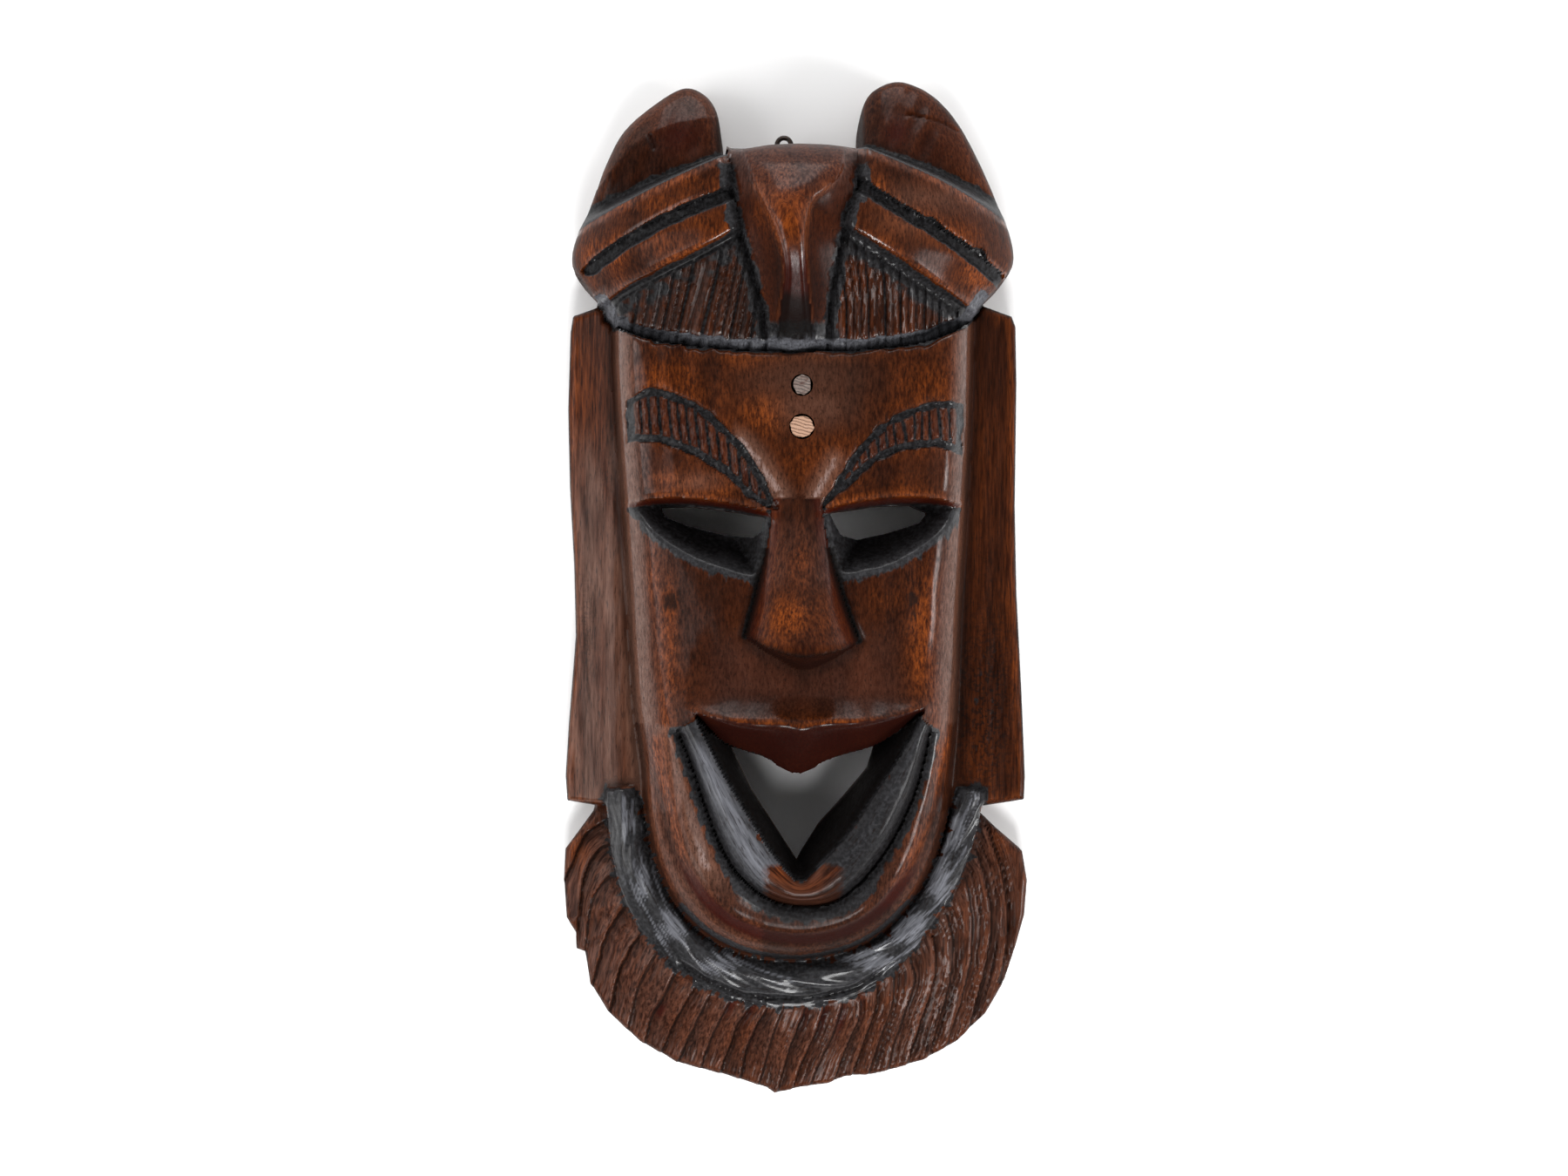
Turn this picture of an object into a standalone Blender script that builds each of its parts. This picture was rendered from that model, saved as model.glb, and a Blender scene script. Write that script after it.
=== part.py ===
"""A carved wooden face mask with a horned cap, side boards and a beard, hollow behind, lying on its back.

Metres, +Z up out of the face, +Y towards the horns, +X to the viewer's right. The origin is under the
middle of the mask, on the surface that it lies on.

The mask is one block of wood. Its front is a height worked out over a drawing of the mask: the drawing's
lines are in millimetres, as measured on the mask, and are stretched to the driving dimensions below.
Its back is a second height, which follows the front at the thickness of the shell.
"""
import bmesh
import bpy
import numpy as np

# Driving dimensions, in metres
MASK_LENGTH = 0.3058        # from the horns to the tip of the beard
MASK_WIDTH = 0.1403         # over the beard, the widest place
MASK_DEPTH = 0.0625         # from the back to the crest of the beak
BOARD_FOOT = 0.0195         # thickness of the side boards where the face rises from them
BOARD_EDGE = 0.0135         # their thickness at the outer edge
BEARD_EDGE = 0.0115         # thickness of the beard at its outline
HORN_ROOT = 0.0270          # thickness of the horns at their root
HORN_TIP = 0.0180           # and near their tips
CAP_RIM = 0.0170            # thickness of the cap at its outer edge
COLLAR_STRIP = 0.0175       # thickness of the flat strip that carries the collar's roll
COLLAR_RISE = 0.0055        # how far the roll stands out of the strip
EDGE_ROUND = 0.0020         # rounding of the outline's front edge
SHELL = 0.0100              # thickness of the carved shell over the hollow
THIN_WALL = 0.0050          # the least wood left behind the eye sockets and the mouth
HOLLOW_RIM = 0.0050         # flat back kept inside the foot of the face
SOCKET_DEPTH = 0.0150       # how far the eye sockets are cut in
MOUTH_DEPTH = 0.0180        # how far the open mouth is cut in
NOSE_RISE = 0.0165          # how far the nose's tip stands out of the face
STRAND_CUT = 0.0016         # depth of the cuts between the strands of the beard
HAIR_CUT = 0.0010           # depth of the cuts in the hair under the cap's bands
BROW_CUT = 0.0013           # depth of the line round each brow
PLUG_FLOOR = 0.0025         # wood left in the shell under the two round plugs in the forehead
UPPER_PLUG_DIAMETER = 0.0058
LOWER_PLUG_DIAMETER = 0.0068
CLEARANCE = 0.0003          # gap between a piece and the hole that it sits in
EYE_WIRE = 0.0015           # diameter of the wire of the hanging eye
EYE_RADIUS = 0.0021         # radius of its loop, to the middle of the wire
EYE_HEIGHT = 0.0100         # height of the wire's middle over the back
EYE_STAND = 0.0032          # bare wire between the wood and the loop
EYE_BITE = 0.0065           # length of wire inside the wood

# Counts and the grid that carries the relief
STRANDS = 38                # strands of the beard
HAIR_PITCH = 0.0030         # from one cut to the next in the hair
BROW_PITCH = 0.0029         # from one cut to the next in the brows
GRID = 0.0012               # spacing of the grid
FACETS = 9100               # triangles kept on the carved block
PLUG_SIDES = 20

# The size of the drawing, and the metres that one of its units stands for in each direction
DRAWN_LENGTH = 305.8
DRAWN_WIDTH = 140.3
DRAWN_DEPTH = 62.5
ACROSS = MASK_WIDTH / DRAWN_WIDTH
ALONG = MASK_LENGTH / DRAWN_LENGTH
UPWARDS = MASK_DEPTH / DRAWN_DEPTH

# Depths of the smaller carving, in the drawing's units, so that they grow with the mask's depth
BAND_GROOVE = 2.6           # between the two bands on each side of the cap
HAIR_STEP = 2.4             # from the lower band down to the hair
HAIR_GROOVE = 1.2           # right under the lower band
HORN_STEP = 3.0             # least step from the upper band down to a horn
LEFT_BEVEL = 3.0            # bevel of the left horn's edge
RIGHT_BEVEL = 3.5           # rounding of the right horn's edge
BEAK_EDGE = 2.2             # from the beak's crest down to its edges
FLANK_STEP = 3.5            # of the foot of the beak's flanks below the cap
FLANK_GROOVE = 2.5          # along that foot
CROWN_ROUND = 5.0           # rounding of the crown's end
CAP_LIP = 2.0               # step down at the cap's lower edge
CAP_GROOVE = 2.0            # between the cap and the forehead
LID_RISE = 0.6              # ridge along each upper eyelid
NOSE_CREASE = 1.0           # line between the nose and the cheeks
MUZZLE_HOLLOW = 4.2         # how far the muzzle round the nose is cut back
LIP_RISE = 0.9              # ridge of the upper lip
LIP_FALL = 9.0              # from that ridge down to the upper lip's edge
LIP_ROLL = 2.2              # roundness of the lower lip
ROLL_FALL = 2.0             # of the lower lip's outer side
CHIN_GROOVE = 2.0           # between the lower lip and the jaw


# Helpers for lines and eased steps

def smooth(t):
    """An eased step: 0 below t = 0, 1 above t = 1."""
    t = np.clip(t, 0.0, 1.0)
    return t * t * (3.0 - 2.0 * t)


def bump(distance, width):
    """A rounded ridge or groove of height 1 on a line, seen from its distance."""
    return np.exp(-(distance / width) ** 2)


def curve(points, closed=False, steps=6):
    """A smooth line through the points, with so many steps from each to the next."""
    p = np.array(points, float)
    ends = (p[-1:], p[:2]) if closed else (2 * p[:1] - p[1:2], 2 * p[-1:] - p[-2:-1])
    p = np.vstack([ends[0], p, ends[1]])
    t = (np.arange(steps) / steps)[:, None]
    runs = [0.5 * (2 * b + t * (c - a) + t**2 * (2 * a - 5 * b + 4 * c - d) + t**3 * (3 * b - a - 3 * c + d))
            for a, b, c, d in zip(p[:-3], p[1:-2], p[2:-1], p[3:])]
    return np.vstack(runs + [p[-2:-1]])


def near(x, y, line, reach=400.0):
    """Distance to a line, the share of its length there, and the signed distance, positive on its left.

    Points further than the reach from the line's box are not looked at and keep the reach as distance.
    """
    low, high = line.min(axis=0) - reach, line.max(axis=0) + reach
    look = (x > low[0]) & (x < high[0]) & (y > low[1]) & (y < high[1])
    px, py = x[look], y[look]
    best = np.full(px.shape, reach**2)
    share, side = np.zeros(px.shape), np.ones(px.shape)
    steps = np.diff(line, axis=0)
    runs = np.hypot(steps[:, 0], steps[:, 1])
    starts = np.cumsum(runs) - runs
    for (ax, ay), (dx, dy), run, start in zip(line[:-1], steps, runs, starts):
        t = np.clip(((px - ax) * dx + (py - ay) * dy) / run**2, 0.0, 1.0)
        gap = (px - ax - t * dx) ** 2 + (py - ay - t * dy) ** 2
        closer = gap < best
        best = np.where(closer, gap, best)
        share = np.where(closer, (start + t * run) / runs.sum(), share)
        side = np.where(closer, np.where(dx * (py - ay) >= dy * (px - ax), 1.0, -1.0), side)
    distance, where = np.full(x.shape, reach), np.zeros(x.shape)
    distance[look] = np.sqrt(best)
    where[look] = share
    signed = distance.copy()
    signed[look] *= side
    return distance, where, signed


def inside(x, y, ring, reach=400.0):
    """Distance to a closed ring, positive inside it."""
    ring = np.vstack([ring, ring[:1]])
    ring = ring[np.append(True, np.any(np.diff(ring, axis=0) != 0.0, axis=1))]
    distance = near(x, y, ring, reach)[0]
    odd = np.zeros(x.shape, bool)
    for (ax, ay), (bx, by) in zip(ring[:-1], ring[1:]):
        if ay != by:
            odd ^= ((ay > y) != (by > y)) & (x < ax + (y - ay) * (bx - ax) / (by - ay))
    return np.where(odd, distance, -distance)


def profile(y, knots):
    """A smooth value along the mask's length, through (y, value) knots that run from the top down."""
    ys, vs = np.array(knots, float)[::-1].T
    slopes = np.gradient(vs, ys)
    i = np.clip(np.searchsorted(ys, y) - 1, 0, len(ys) - 2)
    step = ys[i + 1] - ys[i]
    u = np.clip((y - ys[i]) / step, 0.0, 1.0)
    return ((1 + 2 * u) * (1 - u) ** 2 * vs[i] + u * (1 - u) ** 2 * step * slopes[i]
            + u**2 * (3 - 2 * u) * vs[i + 1] + u**2 * (u - 1) * step * slopes[i + 1])


# The drawing: the outline, clockwise from the left notch under the horns

LEFT_HORN = curve([(-59.2, 85.8), (-66, 93.5), (-67.3, 99), (-65.8, 105), (-61.6, 115.3), (-56.8, 128),
                   (-52, 137.5), (-44, 145.2), (-36.2, 150.5), (-31.5, 151.2), (-27, 148.5), (-24, 143.5),
                   (-22.6, 136), (-21.9, 128.6)], steps=4)
CROWN_END = [(-14.8, 127.6), (-7.5, 128.9), (0.1, 129.4), (8.9, 129.1), (17.6, 128.2)]
RIGHT_HORN = curve([(18.2, 133.5), (18.8, 141), (21.5, 148.3), (26, 151.8), (31, 153), (37, 151.2),
                    (43, 147), (49, 139.5), (55, 128), (60.5, 115.5), (64.3, 104.7), (65, 97.5), (62, 92),
                    (56, 85.8)], steps=4)
RIGHT_BOARD = [(55.7, 85), (64.8, 82), (66, 79), (66.3, 62), (65.8, 25), (66.3, -1), (67.9, -32.6),
               (68.9, -56.3), (68.6, -63.4), (56, -65.3)]
BEARD_EDGE_LINE = [(54.9, -67), (60.9, -72.8), (68.4, -79.3), (69.9, -88.1), (69.1, -98.6), (66.5, -107.8),
                   (63.3, -118.1), (57.2, -128.7), (48.5, -137.1), (38.5, -142.7), (30, -145.3),
                   (22.7, -147.1), (15, -147.6), (9.5, -149.8), (2, -150.8), (-6.3, -152.8), (-9, -151),
                   (-20.8, -147.4), (-36.1, -143.4), (-47.2, -137.1), (-56.5, -128.7), (-62.4, -119.5),
                   (-64, -109.7), (-66.7, -109), (-66.7, -104), (-69.6, -99.5), (-70.4, -88.1),
                   (-69.9, -78.6), (-65, -72), (-61.5, -67.2)]
LEFT_BOARD = [(-60.8, -65.2), (-69.2, -63.9), (-69.7, -56.3), (-68.7, -40.5), (-66.6, -14.2), (-67.1, 6.9),
              (-68.4, 30.6), (-68.9, 54.2), (-68.2, 77.5), (-67.4, 82.4), (-60.2, 84.6)]
OUTLINE = np.vstack([LEFT_HORN, CROWN_END, RIGHT_HORN, RIGHT_BOARD, BEARD_EDGE_LINE, LEFT_BOARD])
BEARD_TOP = -64.0           # the notch between the boards and the beard

# The openings that go right through
LEFT_EYE_HOLE = np.array([(-40.5, 24.2), (-29.5, 24.2), (-18, 22.6), (-9.2, 20.8), (-9.6, 17), (-12.5, 15),
                          (-21.5, 15.8), (-32, 18.5), (-39, 21.2)])
RIGHT_EYE_HOLE = np.array([(9.5, 22), (22, 24.2), (33.5, 24.8), (38.8, 22.5), (36.5, 19.5), (27, 16.5),
                           (18, 14.5), (13, 15.6), (11, 19)])
MOUTH_HOLE = np.array([(-19.5, -46.5), (-10, -49.6), (0, -54.6), (10.5, -50.1), (23, -46.6), (21, -53),
                       (14.5, -61), (6.5, -70), (0, -80), (-6.5, -70), (-13.5, -59)])
HOLES = (LEFT_EYE_HOLE, RIGHT_EYE_HOLE, MOUTH_HOLE)

# The middles of the two plugs, and the hanging eye's place across the crown's end
UPPER_PLUG = (1.5, 59.0)
LOWER_PLUG = (1.5, 47.0)
EYE_SPOT = -3.7


# Each of these takes the grid and the height so far and returns the height with its own carving

def plank(x, y, rim):
    """The plank behind the face: side boards that thin towards their edges, and the beard's slope."""
    foot, edge, beard_edge = BOARD_FOOT / UPWARDS, BOARD_EDGE / UPWARDS, BEARD_EDGE / UPWARDS
    board = foot - (foot - edge) * smooth((np.abs(x) - 51.0) / 18.0)
    beard = beard_edge + (foot - beard_edge) * smooth(rim / 26.0)
    low = smooth((BEARD_TOP + 1.0 - y) / 5.0)
    return board * (1 - low) + beard * low


FACE_FOOT = curve([(-56, 96), (-55.5, 82), (-55, 59), (-52.5, 20), (-51, -6), (-49.5, -32.5), (-47, -53),
                   (-46, -66), (-43, -80.5), (-38, -92.5), (-29.5, -102.5), (-16.5, -109.5), (0, -111.5),
                   (16, -108.5), (27.5, -102), (36, -92.5), (42, -80.5), (46, -66), (47.5, -53),
                   (49, -32.5), (50, -6), (51.5, 20), (53, 59), (53.5, 82), (54, 96)])


def face(x, y, foot):
    """The long convex face: a middle line with a fall to each side, and a rounded wall to the boards."""
    middle = profile(y, [(130, 46), (70, 46), (45, 46.5), (25, 45), (5, 44), (-20, 43.5), (-38, 46.5),
                         (-55, 44), (-75, 42), (-90, 39.5), (-100, 36), (-108, 32), (-114, 28)])
    fall = profile(y, [(130, 5), (60, 5), (20, 7), (-10, 9), (-40, 11), (-70, 12), (-90, 10), (-114, 6)])
    wall = profile(y, [(130, 9), (60, 9), (0, 11), (-40, 13), (-80, 13), (-114, 11)])
    front = middle - fall * (np.abs(x) / 44.0) ** 2.2
    rise = (1 - (1 - np.clip(foot / wall, 0, 1)) ** 2) ** 0.62
    board = BOARD_FOOT / UPWARDS
    return board + (front - board) * rise


COLLAR_IN = curve([(-48, -58.5), (-46, -66), (-43, -80.5), (-38, -92), (-29.5, -102.5), (-16.5, -109.5),
                   (0, -111.5), (16, -108.5), (27.5, -102), (36, -92), (42, -80.5), (46.5, -66),
                   (47.5, -59)])
COLLAR_OUT = curve([(-57, -60), (-57, -68), (-55.5, -80.5), (-52, -92.5), (-46, -103), (-36.5, -114),
                    (-24.5, -121.2), (-13, -124.5), (0, -125.2), (12, -123.7), (22.5, -119.5),
                    (33, -110.5), (41, -100), (48.5, -88), (53, -77), (55.5, -67.5), (56.5, -60.5)], steps=12)
COLLAR_ROLL = curve([(-52, -61), (-50, -70), (-48.5, -80), (-44, -90), (-36.5, -100), (-26.5, -109.5),
                     (-15, -114.8), (0, -116.5), (14.5, -114), (26, -107.5), (36.5, -97), (44, -85.5),
                     (49, -72), (51.5, -62)])


def collar(x, y, h):
    """The rolled band under the chin: a rounded ridge on a flat strip, set into the plank."""
    band = inside(x, y, np.vstack([COLLAR_OUT, COLLAR_IN[::-1]]), 6.0)
    roll = bump(near(x, y, COLLAR_ROLL, 12.0)[0], 3.6)
    strip = (COLLAR_STRIP + COLLAR_RISE * roll) / UPWARDS
    share = np.where(band > -0.4, smooth(band / 0.9 + 0.3), 0.0)
    return h * (1 - share) + strip * share, band


# How far a strand's lower end runs on past the point straight below its root, along the collar
STRAND_ROOT = [0, 0.15, 0.3, 0.5, 0.65, 0.8, 1.0]
STRAND_DRIFT = [-0.06, -0.055, 0, 0.045, 0.09, 0.15, 0.12]


def beard(x, y, h, rim, foot, band):
    """The beard: strands that fan out from the collar, each a shallow scoop with one steep side."""
    away, root, side = near(x, y, COLLAR_OUT, 60.0)
    reach = away / (away + np.maximum(rim, 0.0) + 1e-6)
    strand = STRANDS * (root + np.interp(root, STRAND_ROOT, STRAND_DRIFT) * reach**1.2)
    strand = strand + 0.3 * np.sin(1.7 * strand) + 0.1 * np.sin(3.1 * strand + 1.0)
    t = strand - np.floor(strand)
    scoop = np.where(t < 0.16, 1 - t / 0.16, np.maximum((t - 0.16) / 0.84, 0.0) ** 0.7)
    cut = STRAND_CUT / UPWARDS * (1 - scoop) * smooth(away / 1.5)
    zone = (foot < 0) & (y < BEARD_TOP) & (side < 0) & (band <= 0)
    return np.where(zone, h - cut, h)


# The cap's lines: A parts a horn from the upper band, B parts the bands, C parts the lower band from the
# hair, and D parts all of them from the beak. Each runs outwards from the beak, and D runs downwards.
CAP_EDGE = curve([(-59, 84.5), (-55, 79), (-48, 74.8), (-38, 71.8), (-20, 69.6), (0, 68.8), (20, 69.5),
                  (35, 71.5), (45, 74.8), (51, 79), (55.5, 84.5)])
LINE_A = (curve([(-21.5, 128.2), (-31.5, 122.5), (-43, 117.5), (-58, 111), (-66, 107.5)]),
          curve([(18.2, 128.5), (29.5, 124.2), (43.5, 119), (57.5, 112.8), (65, 109.5)]))
LINE_B = (curve([(-17, 115.5), (-29, 111.5), (-44.5, 105), (-61, 96.5)]),
          curve([(14.5, 119.5), (29.5, 111), (44.5, 103), (61.5, 93.2)]))
LINE_C = (curve([(-15.5, 103.5), (-27, 97.8), (-40, 92.3), (-53.5, 86.5), (-59, 83.5)]),
          curve([(12, 105), (24.5, 97.8), (38.5, 89.6), (53.5, 81.5), (57, 79.5)]))
LINE_D = (curve([(-20, 156), (-20.5, 129), (-19, 122), (-18, 113), (-15.5, 102), (-12.5, 92), (-9.5, 81),
                 (-8, 66)]),
          curve([(17.9, 156), (17.8, 129), (18, 122), (17, 115), (13.5, 105), (11.5, 95), (9.5, 84),
                 (8, 66)]))
BEAK_SIDE = (curve([(-17, 131), (-13.5, 122), (-12, 117), (-10, 112), (-7, 104.5), (-4.5, 96.5), (-3.7, 89.5),
                    (-4.8, 80), (-6.5, 66)]),
             curve([(14, 131), (12.8, 122), (11.5, 118), (8.5, 114.5), (4, 110), (2.7, 103.5), (2.7, 94.5),
                    (3.7, 83), (5.5, 66)]))


def cap(x, y, rim):
    """The domed cap, its horns, the two bands on each side and the hair under them."""
    crown = profile(y, [(131, 49), (124, 52.5), (112, 55), (100, 55.5), (90, 53), (80, 50), (68, 48)])
    half = profile(y, [(131, 58), (115, 63), (98, 68), (86, 60), (70, 57)])
    edge = CAP_RIM / UPWARDS
    dome = edge + (crown - edge) * (1 - np.clip(np.abs(x + 1) / half, 0, 1) ** 2.6) ** 0.8
    left = x < -1.0
    over_a, over_b, over_c = (np.where(left, -near(x, y, west)[2], near(x, y, east)[2])
                              for west, east in (LINE_A, LINE_B, LINE_C))
    # a horn starts low behind the upper band; its edge is bevelled on the left and rounded on the right
    root, tip = HORN_ROOT / UPWARDS, HORN_TIP / UPWARDS
    horn = root - (root - tip) * smooth((np.hypot(x - np.where(left, -35, 33), y - 116) - 4) / 36)
    flat, round_edge = np.clip(1 - rim / 4.0, 0, 1), np.clip(1 - rim / 9.0, 0, 1) ** 2
    horn = horn - np.where(left, LEFT_BEVEL * flat, RIGHT_BEVEL * round_edge)
    share = smooth(over_a / 4.2)
    h = dome * (1 - share) + np.minimum(horn, dome - HORN_STEP) * share
    h = h - BAND_GROOVE * smooth((over_b + 4.0) / 3.4) * smooth((0.7 - over_b) / 0.9)
    h = h - HAIR_STEP * smooth((0.6 - over_c) / 1.2) - HAIR_GROOVE * bump(over_c + 1.2, 1.0)
    slant = np.where(left, 0.18, -0.09)
    turn = 2 * np.pi / (HAIR_PITCH / ACROSS)
    comb = (0.5 + 0.5 * np.cos((x - slant * (y - 85)) * turn)) ** 2
    h = h - HAIR_CUT / UPWARDS * comb * smooth((-1.0 - over_c) / 1.5)
    return h, dome


def beak(x, y, h, dome):
    """The crown's dome that narrows to a beak over the forehead, with a flank down to line D each side."""
    crest = profile(y, [(131, 47.5), (127, 51), (120, 55.5), (110, 60), (98, 62.5), (88, 61), (80, 56),
                        (73, 50), (66, 45)])
    edges = [np.interp(-y, -side[:, 1], side[:, 0]) for side in BEAK_SIDE]
    middle, half = 0.5 * (edges[0] + edges[1]), 0.5 * (edges[1] - edges[0])
    off = np.abs(x - middle) / half
    west, east = (near(x, y, line) for line in LINE_D)
    gap = np.where(x < middle, near(x, y, BEAK_SIDE[0])[0], near(x, y, BEAK_SIDE[1])[0])
    to_d = np.where(x < middle, west[2], -east[2])
    down = gap / (gap + np.maximum(to_d, 0) + 1e-6)
    edge = crest - BEAK_EDGE
    flank = edge + (dome - FLANK_STEP - edge) * down**0.85
    shape = np.where(off < 1, crest - BEAK_EDGE * np.clip(off, 0, 1) ** 2.2, flank)
    groove = FLANK_GROOVE * bump(np.minimum(west[0], east[0]), 1.6)
    return np.where((west[2] > 0) & (east[2] < 0), shape, h - groove)


def brow(x, y, h, upper, lower):
    """A brow: a cut line along its upper edge and short cuts side by side below it."""
    within = inside(x, y, np.vstack([upper, lower[::-1]]), 5.0)
    line = bump(near(x, y, upper, 5.0)[0] - 0.6, 0.9) * (within > -1.5)
    turn = 2 * np.pi / (BROW_PITCH / ACROSS)
    comb = 0.35 + 0.65 * (0.5 + 0.5 * np.cos((x + 0.12 * y) * turn)) ** 2
    return h - BROW_CUT / UPWARDS * (line + 0.7 * comb * smooth(within / 1.5))


BROWS = ((curve([(-49.5, 55), (-43, 58), (-35.5, 56.5), (-27.5, 52.5), (-17.5, 43.5), (-11, 34),
                 (-5.5, 23.5)]),
          curve([(-49.5, 43), (-41.5, 43), (-33, 40.5), (-21.5, 34), (-12, 25.5), (-5.7, 23.3)])),
         (curve([(48.5, 54), (40.5, 54.5), (34, 52.5), (26.5, 49), (19, 42), (12.5, 33), (7, 23.5)]),
          curve([(48.5, 39.5), (40.5, 41.5), (31.5, 40.5), (24, 37.5), (15.5, 30.5), (7.2, 23.3)])))

# Each eye's lid, and the lower edge of its socket
EYES = ((curve([(-49.5, 25.2), (-39, 26.5), (-29, 26.2), (-17.5, 24.5), (-7.5, 22)]),
         curve([(-49.4, 24.5), (-44.5, 18.5), (-38, 13), (-29, 8), (-20, 5), (-12, 3.5), (-9, 10),
                (-7.6, 21.5)])),
        (curve([(7.5, 23), (16.5, 25), (28, 26.5), (39, 26.5), (48, 25)]),
         curve([(7.6, 22.5), (9.5, 11), (12.5, 4.2), (20.5, 5), (28, 7), (37, 12), (44.5, 18.5),
                (47.9, 24.5)])))


def eye(x, y, h, lid, lower):
    """An eye socket: a slope from its lower edge up to a short steep wall under the lid."""
    within = inside(x, y, np.vstack([lid, lower[::-1]]), 6.0)
    to_lid, to_lower = near(x, y, lid, 30.0)[0], near(x, y, lower, 30.0)[0]
    cut = SOCKET_DEPTH / UPWARDS * smooth(to_lower / 11.0) ** 0.8 * smooth(to_lid / 1.6)
    return np.where(within > 0, h - cut, h + LID_RISE * bump(to_lid, 1.5))


NOSE_SIDES = (curve([(-7, 26), (-8, 16), (-10.3, 5), (-13, -6), (-15, -13.5)]),
              curve([(7, 26), (8.5, 16), (11.2, 5), (14.5, -6), (18, -15)]))
NOSE_BASE = curve([(-15, -13.5), (-8.5, -16.8), (-2.5, -18.6), (2, -19.2), (7.5, -18.6), (14, -17.2),
                   (18, -15)])
NOSE_UNDER = curve([(-15.2, -14), (-6, -20.5), (2, -25.5), (10, -21), (18.2, -15.5)])


def nose(x, y, h):
    """The nose: it widens and rises from between the eyes to its tip, and its underside falls back."""
    west, east = near(x, y, NOSE_SIDES[0], 60.0), near(x, y, NOSE_SIDES[1], 60.0)
    base, under = near(x, y, NOSE_BASE, 60.0), near(x, y, NOSE_UNDER, 60.0)
    off = np.abs(1 - 2 * west[0] / (west[0] + east[0] + 1e-6))
    swell = profile(y, [(26, 0), (22, 0.04), (12, 0.25), (0, 0.53), (-10, 0.85), (-16, 1.0), (-26, 1.0)])
    round_off = (1 - np.clip(off, 0, 1) ** 2.4) ** 0.75
    between = (west[2] > 0) & (east[2] < 0) & (y < 26)
    lift = NOSE_RISE / UPWARDS * swell * round_off
    falling = 1 - base[0] / (base[0] + under[0] + 1e-6)
    bridge = between & (base[2] > 0)
    beneath = between & (base[2] <= 0) & (under[2] > 0)
    h = h + np.where(bridge, lift, 0) + np.where(beneath, lift * falling**1.3, 0)
    crease = bump(np.minimum(west[0], east[0]), 1.1) * (~bridge) * (y < 24) * (y > -18)
    return h - NOSE_CREASE * crease, bridge | beneath


MUZZLE = curve([(-28, -14), (-30, -24), (-29.5, -34.5), (-20, -37), (-12, -38), (2, -39), (12, -38),
                (22, -36.5), (33.5, -34), (34.5, -24), (32, -13.5), (20, -11), (2, -16), (-15, -11)],
               closed=True)
LIP_RIDGE = curve([(-29.5, -36), (-21.5, -37.7), (-12.5, -39), (-3.5, -39.3), (1.5, -40.2), (7.5, -39),
                   (17.5, -38.5), (28, -37), (36.5, -35)])
LIP_EDGE = curve([(-29, -37.5), (-25, -42), (-19, -46.2), (-10, -49.2), (0, -54.3), (10.5, -49.7),
                  (22.5, -46.2), (31, -41), (36, -37)])
MOUTH_IN = curve([(-29.2, -38), (-25, -46.5), (-20, -56), (-11.5, -70), (-5, -79.5), (1.3, -85), (7.5, -79.5),
                  (15.5, -70.5), (24, -58), (30.5, -48), (36.2, -37.5)])
LIP_GROOVE = curve([(-35, -41), (-30.5, -53), (-27, -63.5), (-22, -76), (-16.5, -84.5), (-9, -90.5), (0, -93),
                    (10.5, -92), (19, -86), (27, -76), (33.5, -63.5), (37, -53), (39.5, -41)])


def mouth(x, y, h, on_nose):
    """The hollowed muzzle, the upper lip's ridge and slope, the open mouth and the rolled lower lip."""
    h = h - np.where(on_nose, 0.0, MUZZLE_HOLLOW * smooth(inside(x, y, MUZZLE, 6.0) / 8.0))
    ridge, edge = near(x, y, LIP_RIDGE, 40.0), near(x, y, LIP_EDGE, 40.0)
    lip = (ridge[2] < 0) & (edge[2] > 0) & (y < -34) & (np.abs(x - 3.5) < 33.5)
    h = h + LIP_RISE * bump(ridge[0], 1.8)
    h = np.where(lip, h - LIP_FALL * (ridge[0] / (ridge[0] + edge[0] + 1e-6)) ** 1.5, h)
    bowl = inside(x, y, np.vstack([LIP_EDGE, MOUTH_IN[::-1]]), 40.0)
    slope, groove = near(x, y, MOUTH_IN, 40.0)[0], near(x, y, LIP_GROOVE, 40.0)[0]
    depth = MOUTH_DEPTH / UPWARDS
    h = np.where(bowl > 0, h - depth * (0.2 + 0.8 * smooth(slope / 8.0)), h)
    under_lip = inside(x, y, np.vstack([MOUTH_IN, LIP_GROOVE[::-1]]), 40.0)
    t = slope / (slope + groove + 1e-6)
    roll = LIP_ROLL * np.sin(np.pi * t) ** 0.8 - ROLL_FALL * smooth((t - 0.6) / 0.4)
    h = np.where((under_lip > 0) & (bowl < 0), h + roll, h)
    return h - CHIN_GROOVE * bump(groove, 1.6) * (y < -42)


# The hollow's outline follows the foot of the face and closes under the cap. Its sides slope in over this
# much of the drawing.
HOLLOW_OUTLINE = np.vstack([FACE_FOOT, curve([(52, 103), (44, 113), (24, 121.5), (0, 124.5), (-26, 121.5),
                                              (-46, 113), (-54, 103)])])
HOLLOW_SLOPE = 14.0


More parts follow.
